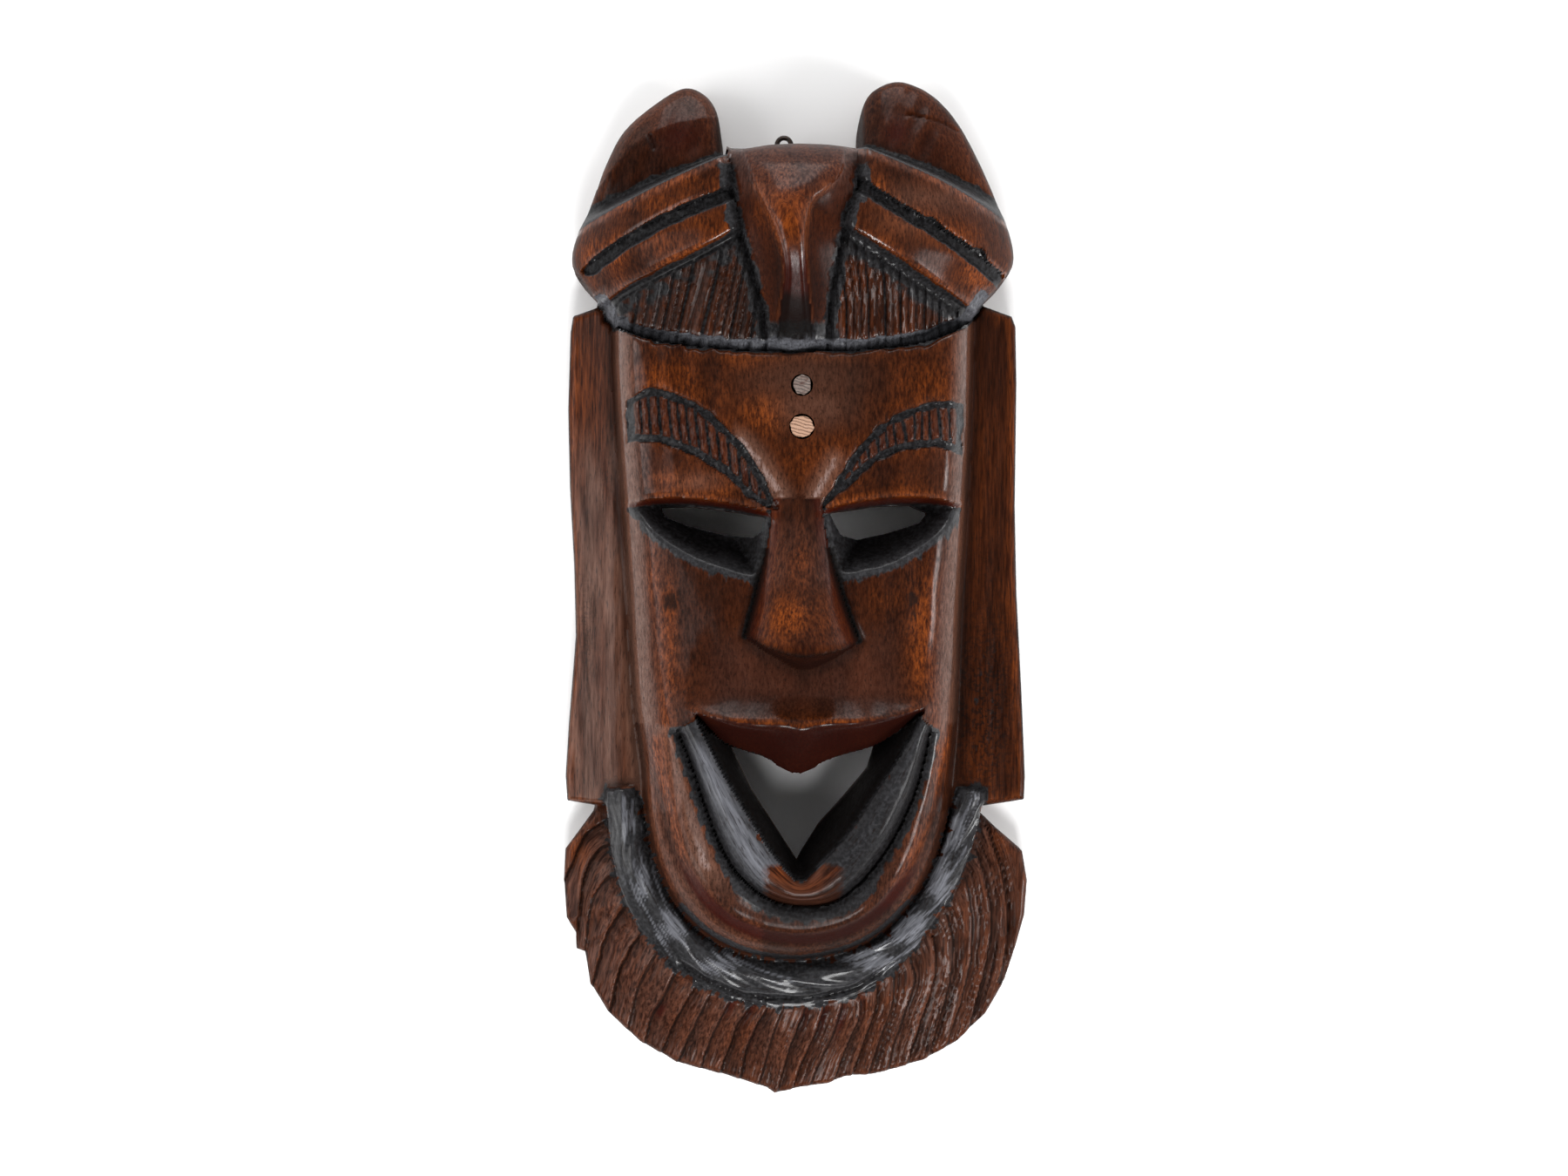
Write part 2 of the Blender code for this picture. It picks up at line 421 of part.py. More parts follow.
def front_and_back(x, y):
    """Heights of the carved front and of the back over the drawing, in the drawing's units."""
    rim = inside(x, y, OUTLINE)
    foot = inside(x, y, FACE_FOOT)
    h = plank(x, y, rim)
    front = face(x, y, foot)
    h = np.where(foot > 0, np.maximum(h, front), h)
    h, band = collar(x, y, h)
    h = beard(x, y, h, rim, foot, band)
    carved, dome = cap(x, y, rim)
    carved = beak(x, y, carved, dome)
    carved = carved - np.where(np.abs(x) < 20, CROWN_ROUND * (1 - smooth((129.5 - y) / 5.0)), 0.0)
    edge = near(x, y, CAP_EDGE)
    under_cap = edge[2] > 0
    h = np.where(under_cap, carved - CAP_LIP * smooth((3.2 - edge[2]) / 0.8), h)
    h = h - CAP_GROOVE * bump(edge[0], 0.9)
    share = smooth(edge[2] / 18.0)
    body = front * (1 - share) + dome * share
    for upper, lower in BROWS:
        h = brow(x, y, h, upper, lower)
    for lid, lower in EYES:
        h = eye(x, y, h, lid, lower)
    h, on_nose = nose(x, y, h)
    h = mouth(x, y, h, on_nose)
    # the back: flat round the edge, then hollow, as deep as the shell and the face's deepest cuts allow
    into = inside(x, y, HOLLOW_OUTLINE) - HOLLOW_RIM / ACROSS
    ramp = (1 - (1 - np.clip(into / HOLLOW_SLOPE, 0, 1)) ** 2) ** 0.6
    thin = np.where(under_cap, body, h) - THIN_WALL / UPWARDS
    back = np.maximum(np.minimum(body - SHELL / UPWARDS, thin), 0.0) * ramp
    lost = 1 - np.clip(rim / (EDGE_ROUND / ACROSS), 0, 1)
    return h - EDGE_ROUND / UPWARDS * (1 - np.sqrt(1 - lost**2)), back


# From the drawing to solids

CENTRE = 0.5 * (OUTLINE.min(axis=0) + OUTLINE.max(axis=0))


def placed(x, y, z):
    """Points of the drawing, with a height, in metres and in the part's frame."""
    return np.column_stack([(x - CENTRE[0]) * ACROSS, (y - CENTRE[1]) * ALONG, z * UPWARDS])


def wood_distance(x, y):
    """Distance to the nearest edge of the wood, positive in the wood."""
    wood = inside(x, y, OUTLINE)
    for ring in HOLES:
        wood = np.minimum(wood, -inside(x, y, ring))
    return wood


def trimmed_grid(spacing):
    """A flat grid of triangles over the drawing, trimmed to the outline and the openings.

    Grid points close to an edge are moved onto it, and a triangle that an edge still crosses is cut there.
    A corner of the result is a pair of grid points: the same point twice, or the two that an edge parts.
    """
    low, high = OUTLINE.min(axis=0) - 2 * spacing, OUTLINE.max(axis=0) + 2 * spacing
    x, y = np.meshgrid(np.arange(low[0], high[0], spacing), np.arange(low[1], high[1], spacing))
    wood = wood_distance(x, y)
    up, across = np.gradient(wood, spacing)
    steep = np.maximum(across**2 + up**2, 0.5)
    close = np.abs(wood) < 0.4 * spacing
    x = np.where(close, x - wood * across / steep, x)
    y = np.where(close, y - wood * up / steep, y)
    wood = wood_distance(x, y).ravel()
    wood[np.abs(wood) < 0.1 * spacing] = 0.0
    corner = np.arange(x.size).reshape(x.shape)
    squares = corner[:-1, :-1], corner[:-1, 1:], corner[1:, 1:], corner[1:, :-1]
    a, b, c, d = (part.ravel() for part in squares)
    tris = np.vstack([np.column_stack([a, b, c]), np.column_stack([a, c, d])])
    state = np.sign(wood)[tris]
    out, into = (state < 0).sum(axis=1), (state > 0).sum(axis=1)

    def first(chosen, lead):
        """The chosen triangles' corners, turned so that the leading one comes first."""
        order = (lead[chosen][:, None] + np.arange(3)) % 3
        return np.take_along_axis(tris[chosen], order, axis=1).T

    def made(*pairs):
        """Triangles whose corners are the given pairs of grid points."""
        return np.stack([np.sort(np.stack(pair, axis=-1), axis=-1) for pair in pairs], axis=1)

    a, b, c = tris[(out == 0) & (into > 0)].T
    pieces = [made((a, a), (b, b), (c, c))]
    a, b, c = first((out == 1) & (into == 2), np.argmin(state, axis=1))
    pieces += [made((a, b), (b, b), (c, c)), made((a, b), (c, c), (a, c))]
    a, b, c = first((into == 1) & (out == 2), np.argmax(state, axis=1))
    pieces += [made((a, a), (a, b), (a, c))]
    a, b, c = first((into == 1) & (out == 1), np.argmin(np.abs(state), axis=1))
    keeps_b = (wood[b] > 0)[:, None, None]
    pieces += [np.where(keeps_b, made((a, a), (b, b), (b, c)), made((a, a), (b, c), (c, c)))]
    ends, index = np.unique(np.vstack(pieces).reshape(-1, 2), axis=0, return_inverse=True)
    p, q = ends.T
    share = np.where(p == q, 0.0, wood[p] / np.where(p == q, 1.0, wood[p] - wood[q]))
    x, y = x.ravel(), y.ravel()
    return x[p] + share * (x[q] - x[p]), y[p] + share * (y[q] - y[p]), index.reshape(-1, 3)


def new_mesh(name, points, faces):
    """A mesh from arrays of points and faces."""
    mesh = bpy.data.meshes.new(name)
    mesh.from_pydata(points.tolist(), [], faces.tolist())
    mesh.validate()
    return mesh


def new_object(name, data, material):
    """An object in the scene with one material."""
    thing = bpy.data.objects.new(name, data)
    bpy.context.scene.collection.objects.link(thing)
    data.materials.append(material)
    return thing


def finish(name, colour, roughness, metallic=0.0):
    """A plain Principled material."""
    material = bpy.data.materials.new(name)
    material.use_nodes = True
    shader = material.node_tree.nodes["Principled BSDF"]
    shader.inputs["Base Color"].default_value = (*colour, 1.0)
    shader.inputs["Roughness"].default_value = roughness
    shader.inputs["Metallic"].default_value = metallic
    return material


def carved_block(name, material):
    """The block: the carved front, the hollow back, and walls along every edge between them."""
    x, y, tris = trimmed_grid(GRID / ACROSS)
    front, back = front_and_back(x, y)
    count = len(x)
    edges = np.vstack([tris[:, [0, 1]], tris[:, [1, 2]], tris[:, [2, 0]]])
    keys, back_keys = edges[:, 0] * count + edges[:, 1], edges[:, 1] * count + edges[:, 0]
    p, q = edges[~np.isin(keys, back_keys)].T
    walls = np.vstack([np.column_stack([p, p + count, q + count]), np.column_stack([p, q + count, q])])
    faces = np.vstack([tris, tris[:, ::-1] + count, walls])
    points = np.vstack([placed(x, y, front), placed(x, y, back)])
    block = new_object(name, new_mesh(name, points, faces), material)
    thin = block.modifiers.new("fewer_facets", "DECIMATE")
    thin.ratio = FACETS / len(faces)
    bpy.context.view_layer.update()
    seen = block.evaluated_get(bpy.context.evaluated_depsgraph_get())
    block.data = bpy.data.meshes.new_from_object(seen)
    block.modifiers.clear()
    flatten = np.empty(3 * len(block.data.vertices), np.float32)
    block.data.vertices.foreach_get("co", flatten)
    heights = flatten[2::3]
    heights[heights < 0.00005] = 0.0
    block.data.vertices.foreach_set("co", flatten)
    block.data.update()
    return block


def rod(name, radius, length, sides=PLUG_SIDES):
    """A cylinder that hangs down from its origin."""
    mesh = bpy.data.meshes.new(name)
    shape = bmesh.new()
    bmesh.ops.create_cone(shape, cap_ends=True, segments=sides, radius1=radius, radius2=radius, depth=length)
    bmesh.ops.translate(shape, verts=shape.verts, vec=(0.0, 0.0, -length / 2))
    shape.to_mesh(mesh)
    shape.free()
    mesh.shade_smooth()
    mesh.set_sharp_from_angle(angle=0.7)
    return mesh


def bore(block, mesh, material, place, tilt=0.0):
    """A hole in the block, cut by a guide of the given mesh."""
    guide = new_object(mesh.name, mesh, material)
    guide.location = place
    guide.rotation_euler = (tilt, 0.0, 0.0)
    guide.hide_render = True
    guide.display_type = "WIRE"
    hole = block.modifiers.new(mesh.name, "BOOLEAN")
    hole.operation = "DIFFERENCE"
    hole.solver = "EXACT"
    hole.object = guide


def forehead_plug(block, name, spot, diameter, material):
    """A round wooden plug, flush with the forehead, in a blind hole with a small gap all round."""
    length = SHELL - PLUG_FLOOR - CLEARANCE
    height = front_and_back(np.array([spot[0]]), np.array([spot[1]]))[0]
    top = placed(np.array([spot[0]]), np.array([spot[1]]), height)[0]
    plug = new_object(name, rod(name, diameter / 2, length), material)
    plug.location = top
    above = 0.003
    hole = rod(name + "_hole", diameter / 2 + CLEARANCE, above + length + CLEARANCE)
    bore(block, hole, material, top + np.array([0.0, 0.0, above]))


def hanging_eye(block, name, material):
    """A wire eye in the end of the crown: a straight shank that turns into an open loop, lying level."""
    end = np.array(CROWN_END)
    wall = placed(np.array([EYE_SPOT]), np.interp([EYE_SPOT], end[:, 0], end[:, 1]), np.zeros(1))[0]
    x, y, z = wall[0], wall[1], EYE_HEIGHT
    turn = np.radians(np.linspace(-60.0, 205.0, 18))
    middle = y + EYE_STAND + EYE_RADIUS
    loop = np.column_stack([x + EYE_RADIUS * np.cos(turn), middle + EYE_RADIUS * np.sin(turn)])
    shank = [(x, y - EYE_BITE), (x, y), (x, y + 0.6 * EYE_STAND)]
    route = np.vstack([shank, loop])
    data = bpy.data.curves.new(name, "CURVE")
    data.dimensions = "3D"
    data.bevel_depth = EYE_WIRE / 2
    data.bevel_resolution = 2
    data.use_fill_caps = True
    line = data.splines.new("POLY")
    line.points.add(len(route) - 1)
    for point, (px, py) in zip(line.points, route):
        point.co = (px, py, z, 1.0)
    new_object(name, data, material)
    outside = 0.004
    hole = rod(name + "_hole", EYE_WIRE / 2 + CLEARANCE, outside + EYE_BITE + CLEARANCE, sides=12)
    bore(block, hole, material, (x, y + outside, z), tilt=-np.pi / 2)


def build():
    """Every piece of the mask."""
    for thing in list(bpy.data.objects):
        bpy.data.objects.remove(thing)
    wood = finish("stained_wood", (0.105, 0.036, 0.018), 0.38)
    pale = finish("plug_wood", (0.42, 0.27, 0.17), 0.6)
    wire = finish("dark_wire", (0.03, 0.028, 0.026), 0.45, 0.9)
    block = carved_block("mask_body", wood)
    forehead_plug(block, "forehead_plug_upper", UPPER_PLUG, UPPER_PLUG_DIAMETER, pale)
    forehead_plug(block, "forehead_plug_lower", LOWER_PLUG, LOWER_PLUG_DIAMETER, pale)
    hanging_eye(block, "hanging_eye", wire)


build()
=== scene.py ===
"""The looks of a carved wooden face mask with a horned cap, side boards and a beard, lying face up.

The carving is a height worked out over a drawing of the mask, in millimetres. The drawing is stretched to
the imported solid's box, so the carving lies where the solid does.
"""

import bpy
import numpy as np
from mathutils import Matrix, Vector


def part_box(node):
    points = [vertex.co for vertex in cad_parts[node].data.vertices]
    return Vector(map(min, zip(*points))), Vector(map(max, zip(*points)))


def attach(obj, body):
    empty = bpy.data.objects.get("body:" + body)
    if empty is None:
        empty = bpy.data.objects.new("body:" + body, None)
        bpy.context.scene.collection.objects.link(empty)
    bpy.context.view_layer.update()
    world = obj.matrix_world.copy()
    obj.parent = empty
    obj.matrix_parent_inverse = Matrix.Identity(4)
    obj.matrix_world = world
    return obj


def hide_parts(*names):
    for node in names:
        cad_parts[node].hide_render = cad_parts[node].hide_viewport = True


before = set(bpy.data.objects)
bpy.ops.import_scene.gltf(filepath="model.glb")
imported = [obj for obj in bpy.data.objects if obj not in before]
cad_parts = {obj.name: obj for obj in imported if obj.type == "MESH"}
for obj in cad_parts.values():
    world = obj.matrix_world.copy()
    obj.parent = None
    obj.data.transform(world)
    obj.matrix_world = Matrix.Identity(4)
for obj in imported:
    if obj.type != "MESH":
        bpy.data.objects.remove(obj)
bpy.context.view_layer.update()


# The block and its side boards
# One length of close-grained wood, sawn flat behind. The carver cut its outline first, with two horns at the
# top, a board on each side of the face and a beard. The boards are planed thinner towards their edges.

def smooth(t):
    """An eased step: 0 below t = 0, 1 above t = 1."""
    t = np.clip(t, 0.0, 1.0)
    return t * t * (3.0 - 2.0 * t)


def bump(distance, width):
    """A rounded ridge or groove of height 1 on a line: e to the minus square of distance over width."""
    return np.exp(-(distance / width) ** 2)


def curve(points, closed=False, steps=6):
    """A smooth line through the points: a cubic from each to the next, with slopes from its neighbours."""
    p = np.array(points, float)
    ends = (p[-1:], p[:2]) if closed else (2 * p[:1] - p[1:2], 2 * p[-1:] - p[-2:-1])
    p = np.vstack([ends[0], p, ends[1]])
    t = (np.arange(steps) / steps)[:, None]
    runs = [0.5 * (2 * b + t * (c - a) + t**2 * (2 * a - 5 * b + 4 * c - d) + t**3 * (3 * b - a - 3 * c + d))
            for a, b, c, d in zip(p[:-3], p[1:-2], p[2:-1], p[3:])]
    return np.vstack(runs + [p[-2:-1]])


def near(x, y, line, reach=400.0):
    """Distance to a line, the share of its length there, and the distance signed, positive on its left.

    Points further than the reach from the line's box are not looked at and keep the reach as distance.
    """
    low, high = line.min(axis=0) - reach, line.max(axis=0) + reach
    look = (x > low[0]) & (x < high[0]) & (y > low[1]) & (y < high[1])
    px, py = x[look], y[look]
    best = np.full(px.shape, reach**2)
    share, side = np.zeros(px.shape), np.ones(px.shape)
    steps = np.diff(line, axis=0)
    runs = np.hypot(steps[:, 0], steps[:, 1])
    starts = np.cumsum(runs) - runs
    for (ax, ay), (dx, dy), run, start in zip(line[:-1], steps, runs, starts):
        t = np.clip(((px - ax) * dx + (py - ay) * dy) / run**2, 0.0, 1.0)
        gap = (px - ax - t * dx) ** 2 + (py - ay - t * dy) ** 2
        closer = gap < best
        best = np.where(closer, gap, best)
        share = np.where(closer, (start + t * run) / runs.sum(), share)
        side = np.where(closer, np.where(dx * (py - ay) >= dy * (px - ax), 1.0, -1.0), side)
    distance, where = np.full(x.shape, reach), np.zeros(x.shape)
    distance[look] = np.sqrt(best)
    where[look] = share
    signed = distance.copy()
    signed[look] *= side
    return distance, where, signed


def inside(x, y, ring, reach=400.0):
    """Distance to a closed ring, positive inside it, where a ray crosses the ring an odd number of times."""
    ring = np.vstack([ring, ring[:1]])
    ring = ring[np.append(True, np.any(np.diff(ring, axis=0) != 0.0, axis=1))]
    distance = near(x, y, ring, reach)[0]
    odd = np.zeros(x.shape, bool)
    for (ax, ay), (bx, by) in zip(ring[:-1], ring[1:]):
        if ay != by:
            odd ^= ((ay > y) != (by > y)) & (x < ax + (y - ay) * (bx - ax) / (by - ay))
    return np.where(odd, distance, -distance)


def profile(y, knots):
    """A smooth value along the mask's length, through (y, value) knots that run from the top down."""
    ys, vs = np.array(knots, float)[::-1].T
    slopes = np.gradient(vs, ys)
    i = np.clip(np.searchsorted(ys, y) - 1, 0, len(ys) - 2)
    step = ys[i + 1] - ys[i]
    u = np.clip((y - ys[i]) / step, 0.0, 1.0)
    return ((1 + 2 * u) * (1 - u) ** 2 * vs[i] + u * (1 - u) ** 2 * step * slopes[i]
            + u**2 * (3 - 2 * u) * vs[i + 1] + u**2 * (u - 1) * step * slopes[i + 1])


def uneven(x, y, across, along, seed, waves=9):
    """Hand-made unevenness of about size 1: a sum of seeded sine waves of about the given lengths."""
    draw = np.random.default_rng(seed)
    total = np.zeros(x.shape)
    for _ in range(waves):
        a, b, shift = draw.normal(0.0, 1.0), draw.normal(0.0, 1.0), draw.uniform(0.0, 2 * np.pi)
        total += np.sin(2 * np.pi * (a * x / across + b * y / along) + shift)
    return total / np.sqrt(waves / 2)


def spots(x, y, places):
    """Soft oval spots, each (x, y, half width, half length, strength), joined by taking the strongest."""
    total = np.zeros(x.shape)
    for sx, sy, across, along, strength in places:
        total = np.maximum(total, strength * np.exp(-((x - sx) / across) ** 2 - ((y - sy) / along) ** 2))
    return total


def more(look, name, *amounts):
    """Raises a mask to each of these amounts, where they are larger."""
    for amount in amounts:
        look[name] = np.maximum(look[name], amount)


def less(look, share, *names):
    """Takes a share off the named masks."""
    for name in names:
        look[name] = look[name] * (1 - share)


def laid(look, zone, **amounts):
    """Gives the named masks these amounts inside the zone, and leaves them alone outside it."""
    for name, amount in amounts.items():
        look[name] = np.where(zone, amount, look[name])


DRAWN_SIZE = np.array([140.3, 305.8, 62.5])
LEFT_HORN = curve([(-59.2, 85.8), (-66, 93.5), (-67.3, 99), (-65.8, 105), (-61.6, 115.3), (-56.8, 128),
                   (-52, 137.5), (-44, 145.2), (-36.2, 150.5), (-31.5, 151.2), (-27, 148.5), (-24, 143.5),
                   (-22.6, 136), (-21.9, 128.6)], steps=4)
CROWN_END = [(-14.8, 127.6), (-7.5, 128.9), (0.1, 129.4), (8.9, 129.1), (17.6, 128.2)]
RIGHT_HORN = curve([(18.2, 133.5), (18.8, 141), (21.5, 148.3), (26, 151.8), (31, 153), (37, 151.2),
                    (43, 147), (49, 139.5), (55, 128), (60.5, 115.5), (64.3, 104.7), (65, 97.5), (62, 92),
                    (56, 85.8)], steps=4)
RIGHT_BOARD = [(55.7, 85), (64.8, 82), (66, 79), (66.3, 62), (65.8, 25), (66.3, -1), (67.9, -32.6),
               (68.9, -56.3), (68.6, -63.4), (56, -65.3)]
BEARD_EDGE_LINE = [(54.9, -67), (60.9, -72.8), (68.4, -79.3), (69.9, -88.1), (69.1, -98.6), (66.5, -107.8),
                   (63.3, -118.1), (57.2, -128.7), (48.5, -137.1), (38.5, -142.7), (30, -145.3),
                   (22.7, -147.1), (15, -147.6), (9.5, -149.8), (2, -150.8), (-6.3, -152.8), (-9, -151),
                   (-20.8, -147.4), (-36.1, -143.4), (-47.2, -137.1), (-56.5, -128.7), (-62.4, -119.5),
                   (-64, -109.7), (-66.7, -109), (-66.7, -104), (-69.6, -99.5), (-70.4, -88.1),
                   (-69.9, -78.6), (-65, -72), (-61.5, -67.2)]
LEFT_BOARD = [(-60.8, -65.2), (-69.2, -63.9), (-69.7, -56.3), (-68.7, -40.5), (-66.6, -14.2), (-67.1, 6.9),
              (-68.4, 30.6), (-68.9, 54.2), (-68.2, 77.5), (-67.4, 82.4), (-60.2, 84.6)]
OUTLINE = np.vstack([LEFT_HORN, CROWN_END, RIGHT_HORN, RIGHT_BOARD, BEARD_EDGE_LINE, LEFT_BOARD])
BEARD_TOP = -64.0
BOARD_TOP = 84.0
BOARD_FOOT = 19.5
BOARD_EDGE = (13.5, 16.0)
BOARD_FLAT = 51.0
BOARD_SLOPE = 18.0
BEARD_EDGE = 11.5
BEARD_SLOPE = 26.0
BOARD_WEAR = [(-63, 58, 5, 26, 0.65), (-60, 0, 5, 40, 0.25), (58, 34, 6, 30, 0.12), (61, -8, 5, 14, 0.25),
              (57, -50, 6, 12, 0.25), (-65, -50, 3, 12, 0.25)]
ROUGH_PATCHES = [(57, -36, 9, 30, 1.0), (-63, -12, 3, 16, 0.55), (-57, 33, 2.5, 12, 0.4),
                 (56, 8, 3, 10, 0.35)]


def side_boards(x, y, rim, look):
    """The plank: boards that thin towards their edges by an eased step, and the beard's slope."""
    thinned = smooth((np.abs(x) - BOARD_FLAT) / BOARD_SLOPE)
    board = BOARD_FOOT - (BOARD_FOOT - np.where(x < 0, *BOARD_EDGE)) * thinned
    beard_height = BEARD_EDGE + (BOARD_FOOT - BEARD_EDGE) * smooth(rim / BEARD_SLOPE)
    low = smooth((BEARD_TOP + 1.0 - y) / 5.0)
    over_beard = y > BEARD_TOP
    on_board = over_beard & (y < BOARD_TOP)
    rough = spots(x, y, ROUGH_PATCHES)
    pits = np.clip(uneven(x, y, 2.6, 5.0, 11, 14) - 0.9, 0, 1.1) * rough
    planed = 0.06 * uneven(x, y, 12.0, 60.0, 3) + 0.010 * uneven(x, y, 3.0, 30.0, 4)
    # A painted sheen streaks the left board; the right board is darker towards its top
    streaks = 0.6 + 0.3 * uneven(x, y, 6.0, 40.0, 12)
    sheen = (x < 0) * over_beard * smooth((56 - y) / 26) * streaks
    look.update(rough=rough, along=0.20 * y, shine=0.12 * sheen, haze=np.minimum(0.85 * sheen, 0.78),
                matte=np.where(x > 0, 0.9, 0.45 + 0.3 * smooth((y - 20) / 30)) * over_beard,
                dirt=0.3 * (x > 0) * smooth((y - 45) / 20))
    more(look, "worn", spots(x, y, BOARD_WEAR), 0.35 * bump(rim - 1.4, 1.3) * on_board)
    more(look, "paint", 0.75 * smooth((0.9 - rim) / 0.8) * on_board, 0.6 * np.clip(pits, 0, 1))
    return (board + planed - 0.25 * pits) * (1 - low) + beard_height * low


# The face
# A long convex face stands out of the plank, with steep rounded walls down to the boards. Its stain is
# rubbed through to orange-brown at the temples, the cheeks and along the jaw.

FACE_FOOT = curve([(-56, 96), (-55.5, 82), (-55, 59), (-52.5, 20), (-51, -6), (-49.5, -32.5), (-47, -53),
                   (-46, -66), (-43, -80.5), (-38, -92.5), (-29.5, -102.5), (-16.5, -109.5), (0, -111.5),
                   (16, -108.5), (27.5, -102), (36, -92.5), (42, -80.5), (46, -66), (47.5, -53),
                   (49, -32.5), (50, -6), (51.5, 20), (53, 59), (53.5, 82), (54, 96)])
FACE_WEAR = [(-38, 62, 8, 5, 0.95), (-30, 57, 8, 5, 0.55), (37, 60, 8, 6, 0.55), (26, 52, 6, 4, 0.35),
             (-10, 50, 6, 5, 0.85), (10, 39, 8, 6, 0.45),
             (-36, 31, 8, 3, 0.9), (-20, 29, 7, 2.5, 0.5), (30, 30, 10, 3, 0.25), (-42, 5, 3, 10, 0.5),
             (-37, -14, 4, 22, 0.60), (-30, -6, 5, 5, 0.15), (36, -10, 4, 24, 0.8), (27, -3, 6, 4, 0.4),
             (-38, -52, 3, 20, 0.75), (40, -48, 3, 20, 0.5), (-36, -82, 3, 8, 0.4), (38, -78, 3, 12, 0.2),
             (0, 36, 6, 6, 0.3), (-14, 66, 10, 3, 0.35)]
# Spots and lines of painted sheen, glossy as well, on the forehead and along the brows
FACE_SHEEN = [(2, 61, 16, 9, 0.40), (4, 53, 12, 6, 0.50), (-30, 31, 9, 2.5, 0.5)]
BROW_SHEEN = ([(-16, 43), (-10.5, 36.5), (-4.5, 27)], [(11, 37), (7, 30), (4.5, 25)])
FACE_DARK = [(2, 63, 20, 7, 0.35), (24, 60, 10, 6, 0.15), (-27, -2, 7, 9, 0.30), (27, 33, 12, 4, 0.20)]
FACE_MATTE = 0.70
CHEEK_SPOTS = [(-37, -4, 2.7, 3.3, 1.6), (33.6, -3, 2.5, 2.6, 1.5), (34.4, -7.6, 1.0, 3.0, 1.1)]


def face(x, y, foot, look):
    """The face: a middle line with a fall to each side by a power of x, and a rounded wall at its foot."""
    middle = profile(y, [(130, 46), (70, 46), (45, 46.5), (25, 45), (5, 44), (-20, 43.5), (-38, 46.5),
                         (-55, 44), (-75, 42), (-90, 39.5), (-100, 36), (-108, 32), (-114, 28)])
    fall = profile(y, [(130, 5), (60, 5), (20, 7), (-10, 9), (-40, 11), (-70, 12), (-90, 10), (-114, 6)])
    wall = profile(y, [(130, 9), (60, 9), (0, 11), (-40, 13), (-80, 13), (-114, 11)])
    front = middle - fall * (np.abs(x) / 44.0) ** 2.2
    rise = (1 - (1 - np.clip(foot / wall, 0, 1)) ** 2) ** 0.62 * smooth(foot / 3.5 + 0.1)
    skin = 0.08 * uneven(x, y, 13.0, 30.0, 5) + 0.012 * uneven(x, y, 4.0, 20.0, 6)
    on_face = smooth(foot / 2.0)
    # Painted reflections along the face's walls, paler on the left, and painted sheen on the forehead and
    # along the brows; some spots are darker
    on_wall = on_face * smooth((9 - foot) / 4)
    hazed = spots(x, y, FACE_SHEEN) * on_face
    for line in BROW_SHEEN:
        hazed = np.maximum(hazed, bump(near(x, y, np.array(line, float), 12.0)[0], 2.8))
    less(look, on_face, "worn", "rough", "matte", "shine", "haze", "dirt", "paint")
    look["matte"] = look["matte"] + FACE_MATTE * smooth((foot - 8) / 6)
    look["shine"] = look["shine"] + 0.35 * on_wall + 0.5 * hazed
    look["haze"] = look["haze"] + on_wall * np.where(x < 0, 0.78, 0.54 - 0.40 * smooth((-45 - y) / 25))
    look["dirt"] = look["dirt"] + on_face * spots(x, y, FACE_DARK)
    laid(look, foot > 0, along=0.7 * y)
    more(look, "worn", spots(x, y, FACE_WEAR) * on_face)
    more(look, "haze", hazed)
    more(look, "cut", smooth(spots(x, y, CHEEK_SPOTS) - 0.2))
    return BOARD_FOOT + (front - BOARD_FOOT) * rise + skin * on_face, front


# The collar
# A rolled band runs under the chin from board to board. It is cut with a knife, stroke beside stroke, and
# painted black. Along the roll the paint is rubbed grey and shiny, partly worn and partly a painted
# highlight.

COLLAR_IN = curve([(-48, -58.5), (-46, -66), (-43, -80.5), (-38, -92), (-29.5, -102.5), (-16.5, -109.5),
                   (0, -111.5), (16, -108.5), (27.5, -102), (36, -92), (42, -80.5), (46.5, -66),
                   (47.5, -59)])
COLLAR_OUT = curve([(-57, -60), (-57, -68), (-55.5, -80.5), (-52, -92.5), (-46, -103), (-36.5, -114),
                    (-24.5, -121.2), (-13, -124.5), (0, -125.2), (12, -123.7), (22.5, -119.5),
                    (33, -110.5), (41, -100), (48.5, -88), (53, -77), (55.5, -67.5), (56.5, -60.5)], steps=8)
COLLAR_ROLL = curve([(-52, -61), (-50, -70), (-48.5, -80), (-44, -90), (-36.5, -100), (-26.5, -109.5),
                     (-15, -114.8), (0, -116.5), (14.5, -114), (26, -107.5), (36.5, -97), (44, -85.5),
                     (49, -72), (51.5, -62)])
COLLAR_STRIP = 17.2
COLLAR_RISE = 5.6
COLLAR_LENGTH = 190.0
COLLAR_CREST = 2.4
COLLAR_FALL = (1.0, 0.6)
# Where the collar's paint is rubbed grey, partly worn and partly a painted highlight
COLLAR_RUB = [(-49.5, -69, 2.6, 7, 1.0), (-46, -87, 3, 8, 1.0), (-37, -101, 5, 6, 1.0),
              (-23, -112.5, 7, 3.5, 0.9), (-6, -117.5, 7, 2, 0.45), (22, -110.5, 8, 4.2, 1.1),
              (33, -101, 7, 7, 1.1), (42, -85, 3.5, 8, 1.1), (47, -72, 2.6, 6, 1.0)]


